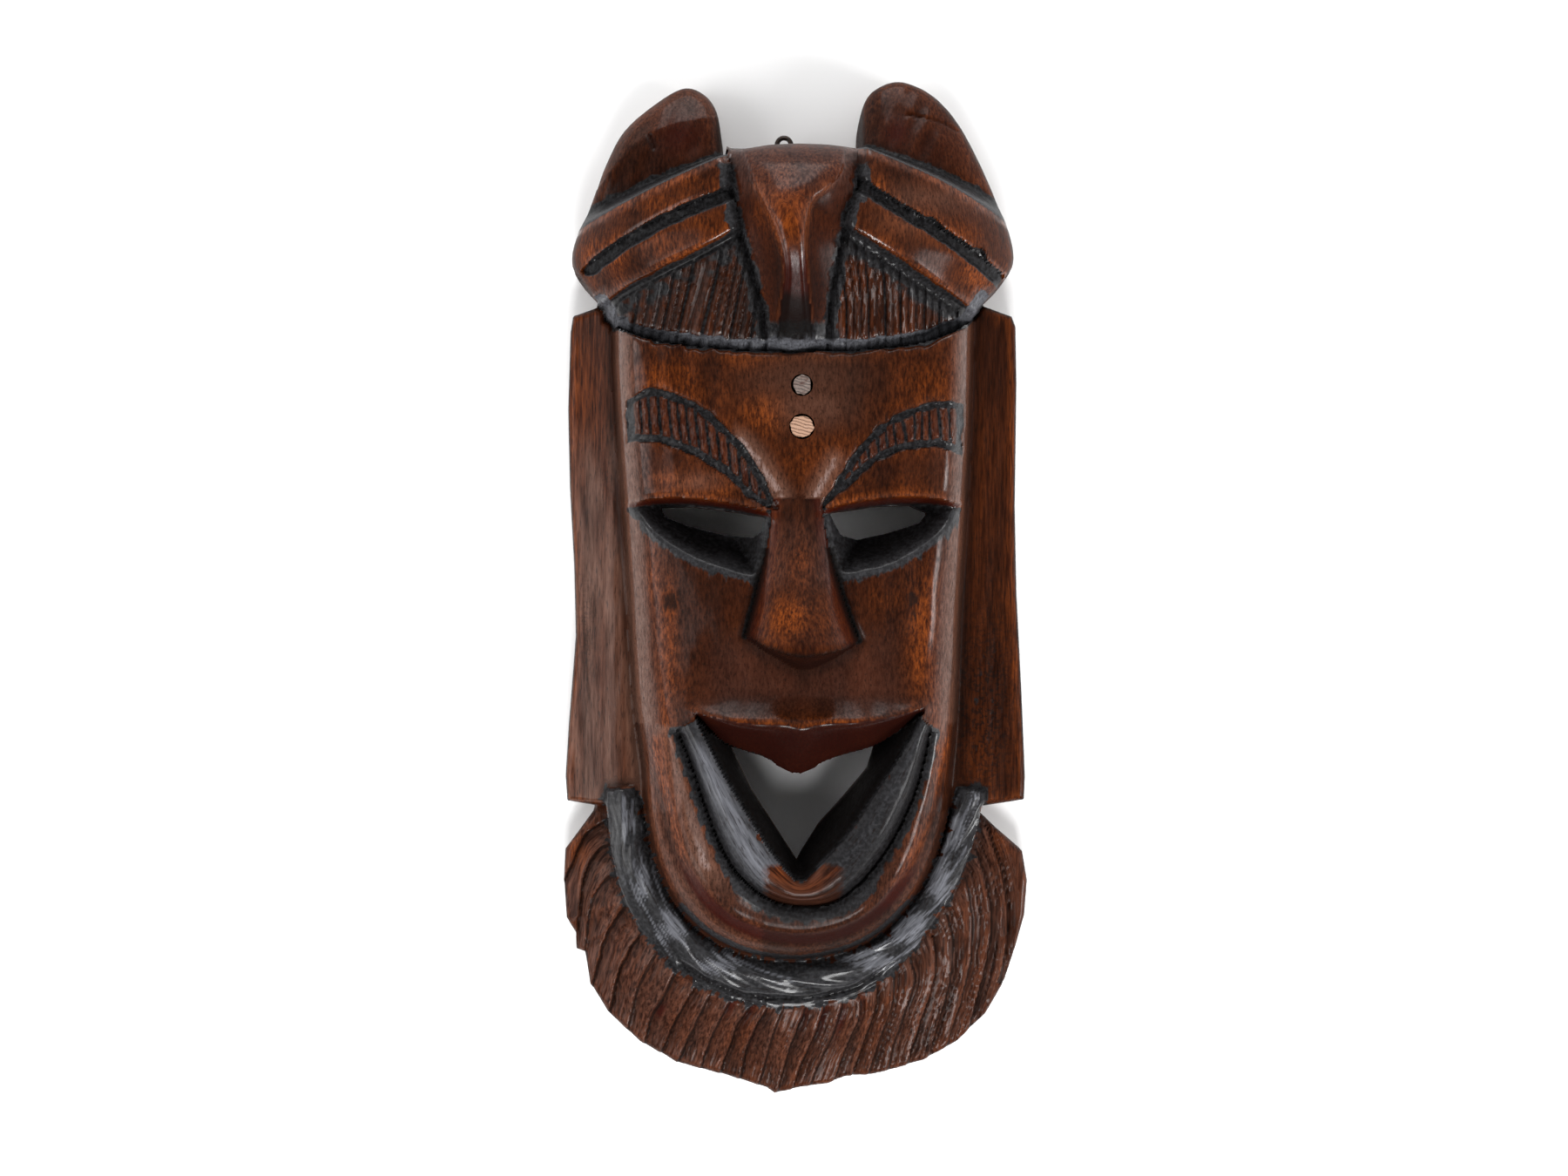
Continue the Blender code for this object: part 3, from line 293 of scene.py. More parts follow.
def collar(x, y, h, look):
    """The collar: a crest that falls in a straight slope to each side, with long askew knife strokes."""
    band = inside(x, y, np.vstack([COLLAR_OUT, COLLAR_IN[::-1]]), 6.0)
    roll, along, across = near(x, y, COLLAR_ROLL, 14.0)
    run = along * COLLAR_LENGTH
    fall = np.where(across > 0, *COLLAR_FALL) * (np.sqrt(roll**2 + COLLAR_CREST**2) - COLLAR_CREST)
    knife = (0.20 * uneven(across + 0.22 * run, run, 5.5, 50.0, 22, 10)
             + 0.018 * uneven(across + 0.22 * run, run, 1.5, 14.0, 24, 12))
    strip = COLLAR_STRIP + np.maximum(COLLAR_RISE - fall, 0.0) + knife
    strip = strip - 1.4 * bump(near(x, y, COLLAR_OUT, 5.0)[0] - 2.8, 0.9) * smooth((-110 - y) / 4)
    share = np.where(band > -0.4, smooth(band / 0.9 + 0.3), 0.0)
    fingers = uneven(run, across, 2.6, 12.0, 23)
    ragged = smooth((band + 0.7 + 0.8 * fingers) / 0.8)
    strokes = uneven(across + 0.15 * run, run, 2.4, 34.0, 25)
    rubbed = share * smooth((spots(x, y, COLLAR_RUB) + 0.30 * strokes - 0.45) / 0.22)
    less(look, ragged, "worn", "haze")
    less(look, share, "shine")
    look["rub"] = rubbed
    laid(look, band > -1.5, across=across, along=0.14 * run)
    more(look, "paint", ragged)
    more(look, "shine", share * (0.06 + 0.45 * rubbed))
    more(look, "dirt", share * smooth((across - 2.5) / 2.0) * 0.5)
    return h * (1 - share) + strip * share, band


# The beard
# The beard is cut into strands that fan out from the collar. Each long cut is steep on its left side and
# leaves a pale torn lip, and finer cuts run between them.

# Each long cut, from its root at the collar to the beard's edge, from left to right
STRANDS = [
    [(-57.8, -69.7), (-64.2, -74.4), (-68.4, -83.3)],
    [(-56.1, -75.7), (-61.3, -79.6), (-64.7, -88.5), (-66, -99)],
    [(-54.3, -84.1), (-59.2, -88.5), (-62.4, -94.3), (-63.7, -104.8)],
    [(-51.1, -93.2), (-54.8, -99), (-58.5, -106.1), (-61.1, -116)],
    [(-46.9, -102.7), (-51.4, -110), (-54.3, -116.6), (-56.5, -126)],
    [(-42.2, -108), (-45.6, -114.2), (-48.5, -121.3), (-50.5, -129.9)],
    [(-36.5, -114.5), (-40.2, -121.8), (-43.8, -128.2), (-45.9, -135.8)],
    [(-29.6, -117.6), (-33.3, -123.6), (-36.7, -129.9), (-40.2, -137.5)],
    [(-25.7, -120.6), (-28.6, -126), (-31.5, -132.3), (-35, -140.4)],
    [(-20.2, -123.2), (-23.6, -129.9), (-26.8, -137), (-28.9, -144)],
    [(-13.9, -124.7), (-17.8, -130.5), (-20.6, -138.4), (-23, -145.1)],
    [(-8.9, -124.9), (-12.9, -132.3), (-15.6, -139.4), (-17.2, -147)],
    [(-4, -124.9), (-7.5, -134.1), (-9.5, -141.7), (-11.6, -148.8)],
    [(2.3, -125.2), (-0.3, -132.3), (-3, -140.5), (-5.6, -150.4)],
    [(8, -125.2), (5.1, -134.1), (1.9, -141.6), (-0.6, -149)],
    [(13.3, -124.7), (10.5, -134.1), (7.4, -141), (4.6, -148)],
    [(18.6, -121.8), (18.9, -127.6), (16, -134.8), (12.4, -145)],
    [(24.1, -119), (23.4, -126), (20.8, -134), (17.4, -145)],
    [(29, -115.5), (28.4, -124.7), (25.8, -132.8), (22, -145)],
    [(33.8, -111), (35, -116.6), (33.6, -123), (30.8, -131), (27.4, -144.6)],
    [(40.7, -104.5), (41.5, -113.7), (39.8, -121.8), (36.8, -131.6), (33.4, -143.4)],
    [(44.8, -98.5), (46.5, -106.1), (46, -116.6), (43.6, -127), (40.4, -139.2)],
    [(50.4, -87), (52.4, -99), (52, -112), (49.2, -125), (45.6, -136.5)],
    [(54, -79), (57.6, -92), (58.4, -103), (56.6, -114.5), (53.2, -128)],
    [(57.6, -73), (61.6, -86), (63.4, -98), (62.6, -111), (60, -121)],
    [(61.6, -73), (65.6, -83), (67.4, -94), (67, -103)],
]
STRAND_CUT = 1.6
STRAND_WIDTH = 6.0
STRAND_RUN = 5.0
STRAND_NEAR = 8.9
# How deep the finer cuts are in strands counted from the left
FINE_CUTS = ((0, 12, 18, 25), (0.20, 0.28, 0.42, 0.50))
BEARD_WEAR = [(-66, -80, 3, 4, 0.9), (62, -76, 3, 4, 0.7), (-50, -112, 5, 12, 0.25), (24, -122, 6, 8, 0.2),
              (-60, -94, 6, 14, 0.35)]
BEARD_RED = [(-20, -124, 3, 4, 0.9), (-14, -126, 2.5, 5, 0.8), (2, -127, 2, 4, 0.8), (8, -128, 2, 6, 0.9),
             (13, -128, 2, 7, 0.9), (19, -124, 2, 5, 0.6), (-41, -127, 2.2, 2.5, 1.0),
             (-14.5, -131, 1.2, 5, 0.9)]


def part_way(one, other):
    """How far a place lies from one line towards another, from its distances to the two."""
    return one / (one + other + 1e-6)


def beard(x, y, h, band, look):
    """The beard: from each long cut the wood drops steeply, and then rises almost straight to the next."""
    lines = []
    for points in STRANDS:
        line = curve(points)
        run_on = line[-1] + (line[-1] - line[-3]) * 3.0
        lines.append(near(x, y, np.vstack([line, run_on]), 9.0))
    zone = (band <= 0) & (y < BEARD_TOP - 2)
    away = near(x, y, COLLAR_OUT, 30.0)[0]
    strand = {name: np.zeros(x.shape) for name in ("depth", "groove", "lip", "tone", "lean")}
    for n, (west, east) in enumerate(zip(lines[:-1], lines[1:])):
        here = zone & (west[2] > 0) & (west[0] < STRAND_NEAR) & (east[2] < 0) & (east[0] < STRAND_NEAR)
        t = part_way(west[0], east[0])
        t = np.clip(t + 0.02 * uneven(x, y, 5.0, 14.0, 40 + n, 4), 0, 1)
        rise = np.where(t < 0.10, 1 - t / 0.10, (np.maximum(t - 0.10, 0) / 0.90) ** 0.9)
        middle = 0.42 + 0.16 * np.sin(2.3 * n)
        fine = bump(t - middle, 0.05) + 0.8 * bump(t - middle - 0.27, 0.04)
        fine_cut = np.interp(n, *FINE_CUTS)
        striae = 0.035 * uneven(t * STRAND_WIDTH, west[1] * 30.0, 0.9, 40.0, 200 + n, 8)
        cut = STRAND_CUT * (1 - rise) * (0.75 + 0.25 * np.sin(1.9 * n + 1.0)) + fine_cut * fine + striae
        laid(strand, here, depth=cut, groove=1.3 * bump(t - 0.075, 0.075) + 1.5 * fine_cut * fine,
             lip=bump(t - 0.97, 0.07) + 1.5 * fine_cut * bump(t - middle + 0.09, 0.05),
             tone=np.sin(1.7 * n), lean=t)
        laid(look, here, across=STRAND_WIDTH * t + 11.0 * n, along=STRAND_RUN * west[1])
    lean = strand["lean"]
    root = smooth(away / 3.0)
    # A painted highlight near each strand's root, on its right part; the beard is also paler towards the left
    pale = smooth((7.0 - away) / 5.0) * smooth((lean - 0.45) / 0.4)
    torn = strand["lip"] * smooth(0.6 + 0.5 * uneven(x, y, 4.0, 7.0, 33))
    dusty = (0.26 + 0.10 * strand["tone"] + 0.18 * lean + 0.9 * torn + 0.5 * pale
             + 0.15 * smooth((-20 - x) / 20))
    more(look, "cut", strand["groove"] * zone)
    laid(look, zone, dust=dusty, red=spots(x, y, BEARD_RED) * smooth((0.55 - lean) / 0.2),
         worn=0.08 + spots(x, y, BEARD_WEAR), shine=0.15 * pale + 0.15 * torn, matte=0.6)
    return h - np.where(zone, (0.2 + 0.8 * root) * strand["depth"], 0.0)


# The cap
# A domed cap runs out into two horns. On each side two raised bands slant up to the beak, parted by grooves
# that are painted black, and under them the hair is cut in narrow strokes down to a black border.

CAP_EDGE = curve([(-59, 84.5), (-55, 79), (-48, 74.8), (-38, 71.8), (-20, 69.6), (0, 68.8), (20, 69.5),
                  (35, 71.5), (45, 74.8), (51, 79), (55.5, 84.5)])
LINE_A = (curve([(-18.5, 125.5), (-31.5, 120.2), (-43, 115.6), (-58, 109.6), (-66, 106.5)]),
          curve([(18.2, 127.5), (29.5, 123.2), (43.5, 118), (57.5, 111.8), (65, 108.5)]))
LINE_B = (curve([(-17, 115.5), (-29, 111.5), (-44.5, 105), (-61, 96.5)]),
          curve([(14.5, 119.5), (29.5, 111), (44.5, 103), (61.5, 93.2)]))
LINE_C = (curve([(-15.5, 103.5), (-27, 97.8), (-40, 92.3), (-53.5, 86.5), (-59, 83.5)]),
          curve([(12, 105), (24.5, 97.8), (38.5, 89.6), (53.5, 81.5), (57, 79.5)]))
LINE_D = (curve([(-20, 156), (-20.5, 129), (-19, 122), (-18, 113), (-15.5, 102), (-12.5, 92), (-9.5, 81),
                 (-8, 66)]),
          curve([(17.9, 156), (17.8, 129), (18, 122), (17, 115), (13.5, 105), (11.5, 95), (9.5, 84),
                 (8, 66)]))
BEAK_SIDE = (curve([(-17, 131), (-13.5, 122), (-12, 117), (-10, 112), (-7, 104.5), (-4.5, 96.5),
                    (-3.7, 89.5), (-4.8, 80), (-6.5, 66)]),
             curve([(14, 131), (12.8, 122), (11.5, 118), (8.5, 114.5), (4, 110), (2.7, 103.5), (2.7, 94.5),
                    (3.7, 83), (5.5, 66)]))
CAP_RIM = 17.0
HORN_ROOT = 27.0
HORN_TIP = 18.0
# Where the horns start: x on the left and on the right, and y
HORN_START = (-35, 33, 116)
HAIR_PITCH = (3.0, 2.4)
HORN_RIDGE = curve([(-56, 124), (-46.3, 134), (-39, 138), (-32.5, 140), (-27, 141)])
HORN_NICK = curve([(-43.6, 135.2), (-42.2, 131.4)])
HORN_CRACK = curve([(33, 141.6), (36, 141.1), (43, 139.4), (48.5, 136.9)])
CAP_WEAR = [(-57, 98, 8, 5, 0.85), (-45, 112, 9, 3, 0.5), (-30, 117.5, 8, 2.5, 0.45), (-42, 99, 10, 4, 0.4),
            (-28, 104, 8, 3, 0.25), (55, 92, 7, 4, 0.9), (46, 104, 9, 3, 0.35), (30, 104, 9, 3, 0.3),
            (50, 119, 5, 4, 0.4), (26, 116, 8, 3, 0.25)]
# Spots of painted sheen on the right bands
CAP_SHEEN = [(38, 113, 14, 4, 0.40), (32, 105, 10, 4, 0.30)]
HORN_RED = [(-34.5, 135, 7, 6, 0.75), (30, 136, 4, 4.5, 0.9), (40, 132, 9, 9, 0.2)]
NOTCHES = [(39.4, 105.9), (54.0, 98.8)]
FACET_A = 5.2
RIM_BEVEL = 2.0
RIM_SLOPE = 0.26


def cap(x, y, rim):
    """The cap: a dome by powers of x, lowered by eased steps along each band line, and cut into strokes."""
    crown = profile(y, [(131, 49), (124, 52.5), (112, 55), (100, 55.5), (90, 53), (80, 50), (68, 48)])
    half = profile(y, [(131, 58), (115, 63), (98, 67), (86, 62), (70, 58)])
    dome = CAP_RIM + (crown - CAP_RIM) * (1 - np.clip(np.abs(x + 1) / half, 0, 1) ** 2.6) ** 0.8
    left = x < -1.0
    over_a, over_b, over_c = (np.where(left, -near(x, y, west)[2], near(x, y, east)[2])
                              for west, east in (LINE_A, LINE_B, LINE_C))
    from_root = np.hypot(x - np.where(left, *HORN_START[:2]), y - HORN_START[2])
    horn = HORN_ROOT - (HORN_ROOT - HORN_TIP) * smooth((from_root - 4) / 36)
    flat, round_edge = np.clip(1 - rim / 3.0, 0, 1), np.clip(1 - rim / 9.0, 0, 1) ** 2
    horn = horn - np.where(left, 1.6 * flat, 3.5 * round_edge)
    ridge = near(x, y, HORN_RIDGE, 60.0)[2]
    horn = horn - np.where(left, 0.40 * np.clip(ridge, 0, 9) + 0.10 * np.clip(-ridge, 0, 9), 0.0)
    for line, deep, width in ((HORN_NICK, 0.9, 0.7), (HORN_CRACK, 0.5, 0.35)):
        horn = horn - deep * bump(near(x, y, line, 3.0)[0], width)
    horn = horn + 0.10 * uneven(x, y, 9.0, 20.0, 51)
    share = smooth(over_a / FACET_A)
    hand = 0.45 * uneven(x, y, 7.0, 7.0, 52)
    nick = sum(bump(np.hypot(x - nx, y - ny), 1.9) for nx, ny in NOTCHES)
    h = dome * (1 - share) + np.minimum(horn, dome - 3.0) * share
    groove = (smooth((over_b + 4.0 + 0.3 * hand) / 1.6)
              * smooth((0.7 + 0.25 * hand + 1.6 * nick - over_b) / 0.7))
    h = h - 2.6 * groove + groove * 0.16 * uneven(x, y, 2.4, 2.4, 53)
    wide = np.where(left, 0.0, 1.0)
    chamfer = smooth((0.6 + 0.2 * hand - over_c) / 1.0)
    h = h - 2.4 * chamfer - 1.2 * bump(over_c + 1.0 + wide, 0.9 + 0.7 * wide)
    h = h - RIM_SLOPE * (np.clip(RIM_BEVEL - over_c, 0, RIM_BEVEL) + np.clip(RIM_BEVEL - over_b, 0, RIM_BEVEL)
                         * (over_b > 0))
    slant, pitch = np.where(left, 0.22, -0.07), np.where(left, HAIR_PITCH[0], HAIR_PITCH[1])
    turns = (x - slant * (y - 85)) / pitch + 0.16 * uneven(x, y, 22.0, 60.0, 54)
    comb = smooth((0.34 - np.abs(turns % 1.0 - 0.5)) / 0.34) * (0.75 + 0.25 * np.sin(2.7 * np.floor(turns)))
    hair = smooth((-1.2 - over_c) / 1.5) * (over_a < 0)
    striae = 0.10 * np.sin(2 * np.pi * 3.3 * turns) + 0.06 * uneven(x, y, 1.4, 9.0, 55)
    h = h - (1.1 * comb - striae * (1 - comb)) * hair
    black_a = smooth((over_a + 0.2) / 0.5) * smooth((FACET_A + 1.4 + 0.7 * hand - over_a) / 1.2)
    black_b = (smooth((over_b + 4.5 + 0.3 * hand) / 1.4)
               * smooth((0.9 + 0.25 * hand + 1.6 * nick - over_b) / 0.5))
    tips = np.where(left, smooth((x + 62.5) / -1.5), smooth((x - 60.5) / 1.5))
    black_c = smooth((over_c + 3.0 + 2.6 * wide) / 1.2) * smooth((0.5 + 0.3 * hand - over_c) / 0.6)
    paint = np.maximum(np.maximum(black_a, black_b * (1 - tips)), black_c * (over_a < 0))
    paint = np.maximum(paint, 0.7 * hair * comb**0.8)
    top = smooth((over_c + 12) / 9) * hair
    paint = np.maximum(paint, top * smooth(0.62 + 0.5 * hand))
    crest = bump(over_a + 0.9, 0.8) + bump(over_b - 0.8, 0.7) + bump(over_c - 1.2, 0.9)
    facet = smooth(ridge / 0.7) * smooth(over_a / 3.0) * left
    worn = spots(x, y, CAP_WEAR) + 0.45 * crest * (over_a < 1)
    combed = hair > 0.5
    # Painted sheen on the left horn's facet and on the right bands. The hair is darker towards its top and on
    # the left.
    cap_look = dict(paint=paint, worn=worn * (1 - hair), cut=comb * hair, shine=0.8 * crest + 0.10 * facet,
                    dust=0.05 * hair, haze=0.15 * facet + spots(x, y, CAP_SHEEN), red=spots(x, y, HORN_RED),
                    dirt=np.maximum(0.35 * top, 0.40 * hair * left),
                    matte=np.where(over_c > 0, 0.85 * (1 - np.clip(crest, 0, 1)), 0.7 * hair),
                    across=np.where(combed, turns * pitch, x), along=np.where(combed, 0.3 * y, 0.6 * y))
    return h, cap_look, dome


# The beak
# The crown runs down into a beak over the forehead. Its crest is polished through to orange, and hollowed
# flanks fall on both sides to a black line beside the hair.

BEAK_WEAR = [(-2.2, 108, 5.5, 8, 1.0), (-4, 118, 8, 5, 0.45), (6, 121, 6, 4, 0.35), (-10, 108, 2.5, 6, 0.4)]
CREST_FALL = 2.2


def beak(x, y, h, dome, look):
    """The beak: a crest rounded by a power of the distance from its middle, and flanks down to line D."""
    crest = profile(y, [(131, 47.5), (127, 51), (120, 56.5), (112, 60.8), (104, 62.5), (98, 61.7), (92, 59.6),
                        (86, 57), (80, 54), (73, 49.5), (66, 45)])
    edges = [np.interp(-y, -side[:, 1], side[:, 0]) for side in BEAK_SIDE]
    middle, half = 0.5 * (edges[0] + edges[1]), 0.5 * (edges[1] - edges[0])
    off = np.abs(x - middle) / half
    west, east = (near(x, y, line) for line in LINE_D)
    gap = np.where(x < middle, near(x, y, BEAK_SIDE[0])[0], near(x, y, BEAK_SIDE[1])[0])
    to_d = np.where(x < middle, west[2], -east[2])
    down = part_way(gap, np.maximum(to_d, 0))
    edge = crest - CREST_FALL
    flank = edge + (dome - 3.5 - edge) * down**0.62
    top_shape = crest - CREST_FALL * np.clip(off, 0, 1) ** (2.2 + 2.3 * smooth((108 - y) / 8))
    shape = np.where(off < 1, top_shape, flank)
    line = np.minimum(west[0], east[0])
    groove = 2.5 * bump(line, 1.6)
    within = (west[2] > 0) & (east[2] < 0)
    low = smooth((80 - y) / 6.0)
    top = within & (off < 1)
    hand = uneven(x, y, 5.0, 9.0, 56)
    reach = np.where(within, 1.0, 3.4) + 0.5 * hand
    black = np.maximum(smooth((reach - line) / 1.2 + 0.5) * smooth((124.5 - y) / 4.0), within * low)
    rounded = bump(off - 1, 0.16)
    # Painted shade darkens the crest towards its lower end, where it turns down to the forehead, and painted
    # sheen lies on its rounded edges
    stained = top * smooth((95 - y) / 6) + 0.35 * ~top * smooth((104 - y) / 10)
    blackened = np.maximum(0.35 * stained, top * smooth((91 + hand - y) / 9))
    dull = np.maximum(0.95 * ~top * smooth((118 - y) / 8), 0.5 * top * smooth((y - 112) / 6))
    more(look, "paint", black)
    laid(look, within, paint=black * 0.95, dust=0.0, cut=0.0, along=0.6 * y,
         worn=(spots(x, y, BEAK_WEAR) + 0.5 * rounded * (y < 116)) * (1 - low),
         red=0.9 * top * smooth((98 - y) / 6) + 0.15, haze=0.30 * rounded * (y < 116),
         dirt=blackened * (1 - 0.7 * rounded * smooth((y - 84) / 8)),
         matte=np.maximum(dull, top * smooth((94 - y) / 4)),
         shine=0.25 * rounded * (y > 92) + 0.9 * top * bump(y - 96, 4.0))
    return np.where(within, shape, h - groove)


# The brows
# Each brow is outlined with a knife, painted black in the cuts, and filled with short upright strokes.

BROWS = ((curve([(-49.5, 55), (-43, 58), (-35.5, 56.5), (-27.5, 52.5), (-17.5, 43.5), (-11, 34),
                 (-5.5, 23.5)]),
          curve([(-49.5, 43), (-41.5, 43), (-33, 40.5), (-21.5, 34), (-12, 25.5), (-5.7, 23.3)])),
         (curve([(48.5, 54), (40.5, 54.5), (34, 52.5), (26.5, 49), (19, 42), (12.5, 33), (7, 23.5)]),
          curve([(48.5, 39.5), (40.5, 41.5), (31.5, 40.5), (24, 37.5), (15.5, 30.5), (7.2, 23.3)])))
BROW_PITCH = 2.7
BROW_BORDER = 2.3


def brow(x, y, h, upper, lower, look, seed):
    """A brow: a sunk border inside its edge, and bars parted by V cuts where x over the pitch is a half."""
    hand = uneven(x, y, 9.0, 9.0, seed)
    within = inside(x, y, np.vstack([upper, lower[::-1]]), 6.0) + 0.2 * hand
    inner = smooth((within + 0.5) / 0.6)
    border = inner * smooth((BROW_BORDER + 0.4 * hand - within) / 0.8)
    turns = (x + 0.1 * (y - 45)) / BROW_PITCH + 0.10 * uneven(x, y, 15.0, 40.0, seed + 2)
    comb = smooth((0.27 - np.abs(turns % 1.0 - 0.5)) / 0.22) * (inner - border)
    chips = 0.10 * uneven(x, y, 2.6, 4.0, seed + 4)
    more(look, "paint", border, 0.85 * comb)
    more(look, "cut", comb)
    more(look, "dust", 0.28 * (inner - border))
    more(look, "red", 0.25 * (inner - border))
    less(look, 0.8 * inner, "worn")
    return h - 1.1 * border - 0.8 * comb + chips * inner


# The eyes
# The sockets slope in from below to a short steep wall under the lid, and a slit is cut right through. They
# are painted black inside, and the paint runs over their lower rim.

LEFT_EYE_HOLE = np.array([(-40.5, 24.2), (-29.5, 24.2), (-18, 22.6), (-9.2, 20.8), (-9.6, 17), (-12.5, 15),
                          (-21.5, 15.8), (-32, 18.5), (-39, 21.2)])
RIGHT_EYE_HOLE = np.array([(9.5, 22), (22, 24.2), (33.5, 24.8), (38.8, 22.5), (36.5, 19.5), (27, 16.5),
                           (18, 14.5), (13, 15.6), (11, 19)])
EYES = ((curve([(-49.5, 25.2), (-39, 26.5), (-29, 26.2), (-17.5, 24.5), (-7.5, 22)]),
         curve([(-49.4, 24.5), (-44.5, 18.5), (-38, 13), (-29, 8), (-20, 5), (-12, 3.5), (-9, 10),
                (-7.6, 21.5)])),
        (curve([(7.5, 23), (16.5, 25), (28, 26.5), (39, 26.5), (48, 25)]),
         curve([(7.6, 22.5), (9.5, 11), (12.5, 4.2), (20.5, 5), (28, 7), (37, 12), (44.5, 18.5),
                (47.9, 24.5)])))
SOCKET_DEPTH = 15.0


def eye(x, y, h, lid, lower, look, seed):
    """A socket: its depth is an eased power of the distance to the lower edge, cut off steeply at the lid."""
    within = inside(x, y, np.vstack([lid, lower[::-1]]), 6.0)
    to_lid, to_lower = near(x, y, lid, 30.0)[0], near(x, y, lower, 30.0)[0]
    hand = uneven(x, y, 6.0, 4.0, seed)
    cut = SOCKET_DEPTH * smooth(to_lower / 11.0) ** 0.8 * smooth(to_lid / 1.6)
    gouged = 0.22 * uneven(x, y, 9.0, 2.6, seed + 1) * smooth(to_lower / 3.0) * smooth(to_lid / 3.0)
    over_rim = (within > -2.6 - 0.5 * hand) & (y < 24)
    rim_paint = over_rim * smooth((1.9 + 0.5 * hand - np.where(within > 0, 0, to_lower)) / 0.7)
    more(look, "paint", smooth(within / 0.5), rim_paint)
    less(look, bump(to_lid - 0.7, 0.9) * (within > 0) * 0.8, "paint")
    more(look, "worn", 0.55 * bump(to_lid - 0.8, 1.0) * (y > 20))
    laid(look, within > 0, worn=0.0)
    more(look, "red", bump(to_lid - 0.9, 0.8) * (within > 0))
    # Painted shade deeper in the socket
    more(look, "dirt", 0.5 * smooth(within / 4.0))
    more(look, "shine", bump(to_lid - 0.4, 0.9) * (within <= 0))
    return np.where(within > 0, h - cut + gouged, h + 0.6 * bump(to_lid, 1.5))


# The nose
# A wedge that widens and rises to its tip, with sharp sides. The tip is rubbed orange, and its underside is
# dark red under a painted shade, which also darkens the philtrum below it and the nose's base and sides.

NOSE_SIDES = (curve([(-7, 26), (-8, 16), (-10.3, 5), (-13, -6), (-15, -13.5)]),
              curve([(7, 26), (8.5, 16), (11.2, 5), (14.5, -6), (18, -15)]))
NOSE_BASE = curve([(-15, -13.5), (-8.5, -16.8), (-2.5, -18.6), (2, -19.2), (7.5, -18.6), (14, -17.2),
                   (18, -15)])
NOSE_UNDER = curve([(-15.2, -14), (-6, -19.8), (2, -23.5), (10, -20.6), (18.2, -15.5)])
NOSE_RISE = 16.5
NOSE_WEAR = [(-2.0, -8.5, 6.0, 5.0, 1.15), (-9.5, -9, 2.2, 5, 0.6), (-7.5, 5, 2.2, 9, 0.45),
             (1, 10, 4, 10, 0.45), (7, -10, 3, 4, 0.20)]
NOSE_SHADE = [(2, -23, 3.0, 7, 0.75), (-11, -17.5, 4, 2, 0.6), (13, -18.5, 4, 2, 0.6), (2, -22, 12, 4, 0.4)]


def nose(x, y, h, look):
    """The nose: a lift rounded across by a power, growing along it, and easing back to nothing beneath."""
    west, east = near(x, y, NOSE_SIDES[0], 60.0), near(x, y, NOSE_SIDES[1], 60.0)
    base, under = near(x, y, NOSE_BASE, 60.0), near(x, y, NOSE_UNDER, 60.0)
    to_side = np.minimum(west[0], east[0])
    off = np.abs(1 - 2 * part_way(west[0], east[0]))
    swell = profile(y, [(26, 0), (22, 0.04), (12, 0.25), (0, 0.53), (-10, 0.85), (-16, 1.0), (-26, 1.0)])
    round_off = (1 - np.clip(off, 0, 1) ** 2.4) ** 0.75
    between = (west[2] > 0) & (east[2] < 0) & (y < 26)
    lift = NOSE_RISE * swell * round_off
    falling = 1 - part_way(base[0], under[0])
    bridge = between & (base[2] > 0)
    beneath = between & (base[2] <= 0) & (under[2] > 0)
    h = h + np.where(bridge, lift, 0) + np.where(beneath, lift * falling**1.3, 0)
    crease = bump(to_side, 1.4) * (~bridge) * (y < 24) * (y > -18)
    on_nose = bridge | beneath
    more(look, "paint", 0.9 * crease * smooth((15 - y) / 6))
    less(look, beneath, "worn")
    laid(look, bridge, paint=0.0, worn=spots(x, y, NOSE_WEAR))
    laid(look, on_nose, red=0.55 * smooth((off - 0.55) / 0.3) + 0.5 * beneath, haze=0.0, along=0.4 * y,
         matte=0.8 * smooth((5 - y) / 8) + 1 - smooth((base[0] - 0.8) / 1.5))
    more(look, "shine", 0.08 * bridge * smooth((2 - y) / 8) * smooth((base[0] - 1.0) / 2.0))
    # Painted shade beneath the nose, below it down to the lip, and along its base and sides
    more(look, "dirt", 0.8 * beneath + ~on_nose * spots(x, y, NOSE_SHADE),
         bump(base[0] + 0.2, 1.1) * between, bump(to_side - 0.3, 1.3) * (y < 12) * (y > -18))
    return h - crease, on_nose


# The mouth
# The muzzle is hollowed beside the nose. Under a worn ridge the upper lip slopes into the open mouth, which
# is cut right through, and the lower lip is a rolled band, painted black and polished, above a groove.

MOUTH_HOLE = np.array([(-19.5, -46.5), (-10, -49.6), (0, -54.6), (10.5, -50.1), (23, -46.6), (21, -53),
                       (14.5, -61), (6.5, -70), (0, -80), (-6.5, -70), (-13.5, -59)])
LIP_RIDGE = curve([(-29.5, -36), (-21.5, -37.7), (-12.5, -39), (-3.5, -39.3), (1.5, -40.2), (7.5, -39),
                   (17.5, -38.5), (28, -37), (36.5, -35)])
LIP_EDGE = curve([(-29, -37.5), (-25, -42), (-19, -46.2), (-10, -49.2), (0, -54.3), (10.5, -49.7),
                  (22.5, -46.2), (31, -41), (36, -37)])
MOUTH_IN = curve([(-29.2, -38), (-25, -46.5), (-20, -56), (-11.5, -70), (-5, -79.5), (1.3, -85),
                  (7.5, -79.5), (15.5, -70.5), (24, -58), (30.5, -48), (36.2, -37.5)])
LIP_GROOVE = curve([(-35, -41), (-30.5, -53), (-27, -63.5), (-22, -76), (-16.5, -84.5), (-9, -90.5),
                    (0, -93), (10.5, -92), (19, -86), (27, -76), (33.5, -63.5), (37, -53), (39.5, -41)])
